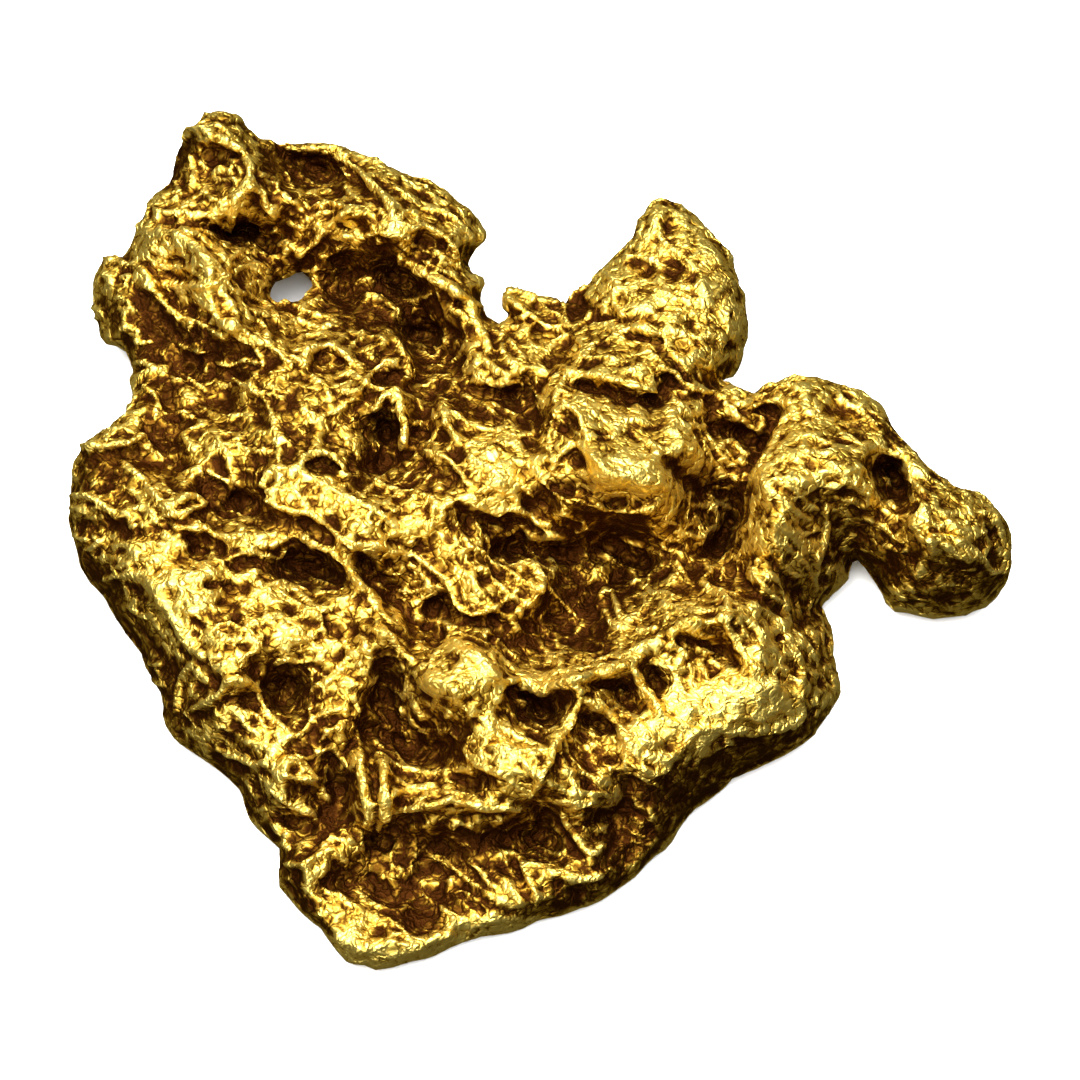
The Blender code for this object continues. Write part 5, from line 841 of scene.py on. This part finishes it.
# The clay is smoothed, each round shrinking it and then swelling it back, and bent a little out of true.
SMOOTHING_ROUNDS = 8
SHRINK, SWELL_BACK = 1.00, 1.05
BROAD_BEND, SMALL_BEND = 0.12, 0.05
for _ in range(SMOOTHING_ROUNDS):
    points = points + SHRINK * (spread_out(points, edges, 1) - points)
    points = points - SWELL_BACK * (spread_out(points, edges, 1) - points)
points += sturdy[:, None] * (BROAD_BEND * shifts(points, 1.1, 2.0) + SMALL_BEND * shifts(points, 0.4, 9.0))
write_points(points)
normals = spread_out(read_normals(), edges, 5)
normals /= np.linalg.norm(normals, axis=1)[:, None]

# The small crests run along the grain of the gold, which is drawn out to the near right.
GRAIN_ANGLE = math.radians(-38)
GRAIN_STRETCH = 0.55
GRAIN = np.array([math.cos(GRAIN_ANGLE), math.sin(GRAIN_ANGLE), 0])


def grained(points):
    return points - GRAIN_STRETCH * (points @ GRAIN)[:, None] * GRAIN


def folds(points):
    return creases(grained(points), 0.8, 3.1, 3.6)


# The placed crests, each with a faint dip along both sides, the placed pits, and between them the folds and
# crumbs of crumpled gold, fewer on crests and on the underside. No pit takes more than a quarter of the
# thickness, and nothing goes below the table.
STROKE_WANDER = 0.06
CREST_HEIGHT, DIP_DEPTH, PIT_DEPTH = 1.1, 0.25, 0.36
FOLD_HEIGHT, CRUMB_HEIGHT, FLAT_DEPTH = 0.11, 0.04, 0.03
places = on_sheet(points) + STROKE_WANDER * shifts(points, 0.35, 5.0)[:, :2]
uneven = 1 + 0.6 * swells(points, 0.5, 4.0)
raised = CREST_HEIGHT * worked(places, CRESTS, 0.8) - DIP_DEPTH * worked(places, CRESTS, 2.2)
raised = raised * faces_station * uneven
sunk = PIT_DEPTH * worked(places, HOLLOWS, 1.1) * faces_station * uneven
rough = np.clip(1 + 2.0 * sunk - 4.0 * raised, 0.2, 1.4) * np.clip(0.3 + normals[:, 2], 0.25, 1)
crumple = FOLD_HEIGHT * folds(points) + CRUMB_HEIGHT * creases(points, 0.4, 7.7)
filled = worked(places, FILLED) * faces_station
change = sturdy * np.maximum(raised + filled - sunk + rough * (crumple - FLAT_DEPTH), -thickness / 4)
points += normals * change[:, None]
points[:, 2] = np.maximum(points[:, 2], 0)
write_points(points)

# The plain underside can do with larger triangles than the top.
UNDER_NORMAL = -0.2
UNDER_SHARE, TOP_SHARE = 1.0, 0.35
plain = skin.vertex_groups.new(name="plain")
under = normals[:, 2] < UNDER_NORMAL
for share, faced in ((UNDER_SHARE, under), (TOP_SHARE, ~under)):
    plain.add(faced.nonzero()[0].tolist(), share, "REPLACE")
thinner = skin.modifiers.new("thinner", "DECIMATE")
thinner.vertex_group = "plain"
thinner.ratio = min(1, MOST_TRIANGLES / (2 * len(skin.data.polygons)))
bpy.ops.object.modifier_apply(modifier="thinner")
bpy.ops.object.mode_set(mode="EDIT")
bpy.ops.mesh.select_all(action="SELECT")
bpy.ops.mesh.quads_convert_to_tris()
bpy.ops.object.mode_set(mode="OBJECT")

# How hollow each point is: how much of the sky it can't see, and how far it lies below its surroundings,
# near and far.
SKY_RAYS = 20
SKY_REACH = 2.2
JUST_OUTSIDE = 0.02
GOLDEN_TURN = math.pi * (3 - math.sqrt(5))
LEVELS = ((3, 4.0), (12, 4.2), (50, 1.6))
points, normals, edges = read_points(), read_normals(), read_edges()
tree = skin_tree(points)
rays = []
for i in range(SKY_RAYS):
    up = math.sqrt((i + 0.5) / SKY_RAYS)
    out = math.sqrt(1 - up * up)
    rays.append((out * math.cos(GOLDEN_TURN * i), out * math.sin(GOLDEN_TURN * i), up))
shut = np.zeros(len(points))
for i, (point, normal) in enumerate(zip(points, normals)):
    normal = Vector(normal)
    start = Vector(point) + normal * JUST_OUTSIDE
    turned = normal.to_track_quat("Z", "Y")
    blocked = 0.0
    for ray in rays:
        distance = tree.ray_cast(start, turned @ Vector(ray), SKY_REACH)[3]
        if distance is not None:
            blocked += 1 - distance / SKY_REACH
    shut[i] = blocked / SKY_RAYS
low = np.zeros(len(points))
for times, weight in LEVELS:
    level = spread_out(points, edges, times)
    low += weight * ((level - points) * normals).sum(1)

# Where dirt and tarnish stay and where the gold is rubbed bright, with painted shade and painted highlights
# laid over them: darker by how shut in and how low each point lies, painted shade in the recesses along with
# tarnish, in cloudy mottles, brighter along folds, and in the placed pits, stains and rubbed faces. The tones
# are eased at both ends, so that neither ends in one flat colour.
MIDDLE = 0.5
SHUT_SHADE_AND_DIRT, MOTTLE_DIRT, FOLD_WEAR_AND_HIGHLIGHT = 0.35, 0.26, 0.25
STAIN_AND_SHADE_DARKENING, RUB_AND_HIGHLIGHT_SHINE, PIT_SHADE_AND_DIRT = 1.1, 0.9, 1.9
CREST_WEAR_AND_HIGHLIGHT, CREST_FOOT_SHADE = 6.0, 2.0
BRIGHT_ROOM, DARK_ROOM = 0.46, 0.56
places = on_sheet(points)
faces_station = facing_station(points, normals, 1.0)
mottle = swells(points, 0.9, 6.3) + 0.6 * swells(points, 0.35, 1.9)
# The dark patches darken stains and paint shade on the near walls and hollows; the rubbed faces are partly
# painted highlight.
placed_dirt_and_shade = STAIN_AND_SHADE_DARKENING * painted(places, STAINS_AND_SHADE) - RUB_AND_HIGHLIGHT_SHINE * painted(places, RUBBED_AND_HIGHLIT)
# The placed pits are painted darker, as shade, along with the dirt in them.
placed_dirt_and_shade = placed_dirt_and_shade + PIT_SHADE_AND_DIRT * worked(places, HOLLOWS, 1.2)
# The placed crests are painted bright, partly wear and partly painted highlight, with painted shade along
# their feet; the folds are painted brighter too.
placed_dirt_and_shade -= CREST_WEAR_AND_HIGHLIGHT * worked(places, CRESTS, 0.75) - CREST_FOOT_SHADE * worked(places, CRESTS, 2.0)
# Sky that a point can't see and how low it lies paint shade into the tone, along with tarnish.
dirt_and_shade = MIDDLE + SHUT_SHADE_AND_DIRT * shut + low + MOTTLE_DIRT * mottle - FOLD_WEAR_AND_HIGHLIGHT * folds(points)
dirt_and_shade = dirt_and_shade + faces_station * placed_dirt_and_shade
room = np.where(dirt_and_shade < MIDDLE, BRIGHT_ROOM, DARK_ROOM)
dirt_and_shade = MIDDLE + room * np.tanh((dirt_and_shade - MIDDLE) / room)
attribute = skin.data.attributes.new("dirt_and_shade", "FLOAT", "POINT")
attribute.data.foreach_set("value", np.clip(dirt_and_shade, -0.5, 1.5).astype(np.float32))

skin.data.transform(Matrix.Scale(MM, 4))
bpy.ops.object.shade_smooth()

# The metal itself: pale and bright where it is rubbed or painted with highlight, brown to black where dirt
# and tarnish stay and where shade is painted in, with a net of fine cracks round small flakes, painted darker
# as shade, and of finer crests over them, painted brighter between darker gaps. Textures are counted per
# metre.
FLAKES, CREST_LINES, WARPS = 3000, 1500, 2600
WARP_REACH = 0.0006
RELIEF = 0.00006
# Gold tones from rubbed bright to near black; the dark end stands for tarnish and for painted shade alike.
TARNISH_AND_SHADE = [
    (0.05, (0.91, 0.69, 0.15, 1)), (0.30, (0.74, 0.50, 0.075, 1)), (0.50, (0.36, 0.20, 0.018, 1)),
    (0.70, (0.12, 0.050, 0.005, 1)), (0.95, (0.040, 0.012, 0.002, 1)),
]
gold = bpy.data.materials.new("native gold")
gold.use_nodes = True
nodes, links = gold.node_tree.nodes, gold.node_tree.links
shader = nodes["Principled BSDF"]
shader.inputs["Metallic"].default_value = 1.0
shader.inputs["Specular Tint"].default_value = (1.0, 0.78, 0.30, 1)
place = nodes.new("ShaderNodeTexCoord").outputs["Object"]


def texture(kind, vector, **settings):
    node = nodes.new(kind)
    links.new(vector, node.inputs["Vector"])
    for name, value in settings.items():
        if name in node.inputs:
            node.inputs[name].default_value = value
        else:
            setattr(node, name, value)
    return node


def combined(operation, first, second):
    node = nodes.new("ShaderNodeMath")
    node.operation = operation
    for socket, value in zip(node.inputs, (first, second)):
        if isinstance(value, float):
            socket.default_value = value
        else:
            links.new(value, socket)
    return node.outputs["Value"]


def mapped(value, start, end, first, last, curve="LINEAR"):
    """Carries values from start to end over to the run from first to last."""
    node = nodes.new("ShaderNodeMapRange")
    node.interpolation_type = curve
    for name, number in zip(("From Min", "From Max", "To Min", "To Max"), (start, end, first, last)):
        node.inputs[name].default_value = number
    links.new(value, node.inputs["Value"])
    return node.outputs["Result"]


warp = texture("ShaderNodeTexNoise", place, Scale=WARPS, Detail=2).outputs["Color"]
bent = nodes.new("ShaderNodeVectorMath")
bent.operation = "MULTIPLY_ADD"
bent.inputs[1].default_value = (WARP_REACH,) * 3
links.new(warp, bent.inputs[0])
links.new(place, bent.inputs[2])
flakes = texture("ShaderNodeTexVoronoi", bent.outputs["Vector"], feature="DISTANCE_TO_EDGE", Scale=FLAKES)
flakes = flakes.outputs["Distance"]
crests = texture("ShaderNodeTexNoise", place, noise_type="RIDGED_MULTIFRACTAL", normalize=False,
                 Scale=CREST_LINES, Detail=2.5, Roughness=0.5, Distortion=0.6, Offset=1.0, Gain=2.0)
crests = crests.outputs["Fac"]

# The skin's tone carries dirt and tarnish together with painted shade and painted highlights.
depth = nodes.new("ShaderNodeAttribute")
depth.attribute_name = "dirt_and_shade"
# Cracks between flakes are painted darker, as shade and dirt; fine crests are painted brighter and their gaps
# darker.
crack_shade_and_dirt = mapped(flakes, 0.0, 0.12, 0.30, -0.06, "SMOOTHSTEP")
fine_shade_and_highlight = combined("ADD", crack_shade_and_dirt, mapped(crests, 0.3, 1.6, 0.34, -0.37))
dirt_and_shade_tone = combined("ADD", depth.outputs["Fac"], fine_shade_and_highlight)
colour = nodes.new("ShaderNodeValToRGB")
stops = colour.color_ramp.elements
stops[0].position, stops[0].color = TARNISH_AND_SHADE[0]
stops[1].position, stops[1].color = TARNISH_AND_SHADE[-1]
for where, tint in TARNISH_AND_SHADE[1:-1]:
    stops.new(where).color = tint
links.new(dirt_and_shade_tone, colour.inputs["Fac"])
links.new(colour.outputs["Color"], shader.inputs["Base Color"])
links.new(mapped(dirt_and_shade_tone, 0.1, 0.9, 0.44, 0.60), shader.inputs["Roughness"])
flake_height = mapped(flakes, 0.0, 0.25, 0.0, 0.45, "SMOOTHSTEP")
height = combined("ADD", combined("MULTIPLY", crests, 0.6), flake_height)
bump = nodes.new("ShaderNodeBump")
bump.inputs["Strength"].default_value = 1.0
bump.inputs["Distance"].default_value = RELIEF
links.new(height, bump.inputs["Height"])
links.new(bump.outputs["Normal"], shader.inputs["Normal"])
skin.data.materials.append(gold)

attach(skin, "root")
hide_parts("nugget")

# ---------------------------------------------------------------------------------------------------
# The place it lies in: a plain table top of pale paper, a bright wall round it, soft lights overhead and in
# front, and the camera. The table isn't mirrored in the metal, which shows only the lights and a dim room.
TABLE_SIZE = 3.0
WALL_RADIUS, WALL_HEIGHT = 0.7, 2.4


def stage_finish(name, **sockets):
    """A plain material, with its shader's sockets named in small letters."""
    finish = bpy.data.materials.new(name)
    finish.use_nodes = True
    for socket, value in sockets.items():
        socket = socket.replace("_", " ").title()
        finish.node_tree.nodes["Principled BSDF"].inputs[socket].default_value = value
    return finish


bpy.ops.object.select_all(action="DESELECT")
bpy.ops.mesh.primitive_plane_add(size=TABLE_SIZE, location=(0, 0, 0))
table = bpy.context.object
table.name = "table_top"
table.visible_glossy = False
table.data.materials.append(stage_finish("pale paper", base_color=(0.9, 0.9, 0.9, 1), roughness=0.9))

# Low views look past the table at this plain bright wall, which neither lights nor shades the metal.
bpy.ops.mesh.primitive_cylinder_add(
    vertices=64, radius=WALL_RADIUS, depth=WALL_HEIGHT, end_fill_type="NOTHING")
wall = bpy.context.object
wall.name = "studio_wall"
wall.visible_glossy = wall.visible_diffuse = wall.visible_shadow = wall.visible_transmission = False
wall.data.materials.append(stage_finish(
    "bright plaster", base_color=(0, 0, 0, 1), emission_color=(1, 1, 1, 1), emission_strength=1.0))


def soft_light(name, place, size, power, in_metal):
    """A rectangular light at a place, looking at the nugget, mirrored in the metal or not."""
    lamp = bpy.data.lights.new(name, "AREA")
    lamp.shape = "RECTANGLE"
    lamp.size, lamp.size_y = size
    lamp.energy = power
    light = bpy.data.objects.new(name, lamp)
    light.location = place
    light.rotation_euler = Vector(place).to_track_quat("Z", "Y").to_euler()
    light.visible_glossy = in_metal
    light.visible_camera = False
    bpy.context.scene.collection.objects.link(light)


soft_light("overhead", (-0.04, 0.06, 0.34), (0.34, 0.40), 4.5, True)
soft_light("from_the_front", (-0.16, -0.30, 0.16), (0.24, 0.16), 0.8, True)
soft_light("table_fill", (0.0, 0.0, 0.60), (0.9, 0.9), 20.0, False)

world = bpy.data.worlds.new("dim room")
world.use_nodes = True
world.node_tree.nodes["Background"].inputs["Color"].default_value = (0.10, 0.095, 0.08, 1)
bpy.context.scene.world = world
bpy.context.scene.view_settings.view_transform = "Standard"

# The camera looks from the station from which the relief was worked.
SENSOR_WIDTH, FOCAL_LENGTH = 36, 264
lens = bpy.data.cameras.new("camera")
lens.sensor_width = SENSOR_WIDTH
lens.lens = FOCAL_LENGTH
lens.clip_start = 0.01
camera = bpy.data.objects.new("camera", lens)
camera.location = Vector(station) * MM
aim = Vector((-SHEET_CENTRE[0], -SHEET_CENTRE[1], SHEET_LEVEL)) * MM
camera.rotation_euler = (camera.location - aim).to_track_quat("Z", "Y").to_euler()
bpy.context.scene.collection.objects.link(camera)
bpy.context.scene.camera = camera
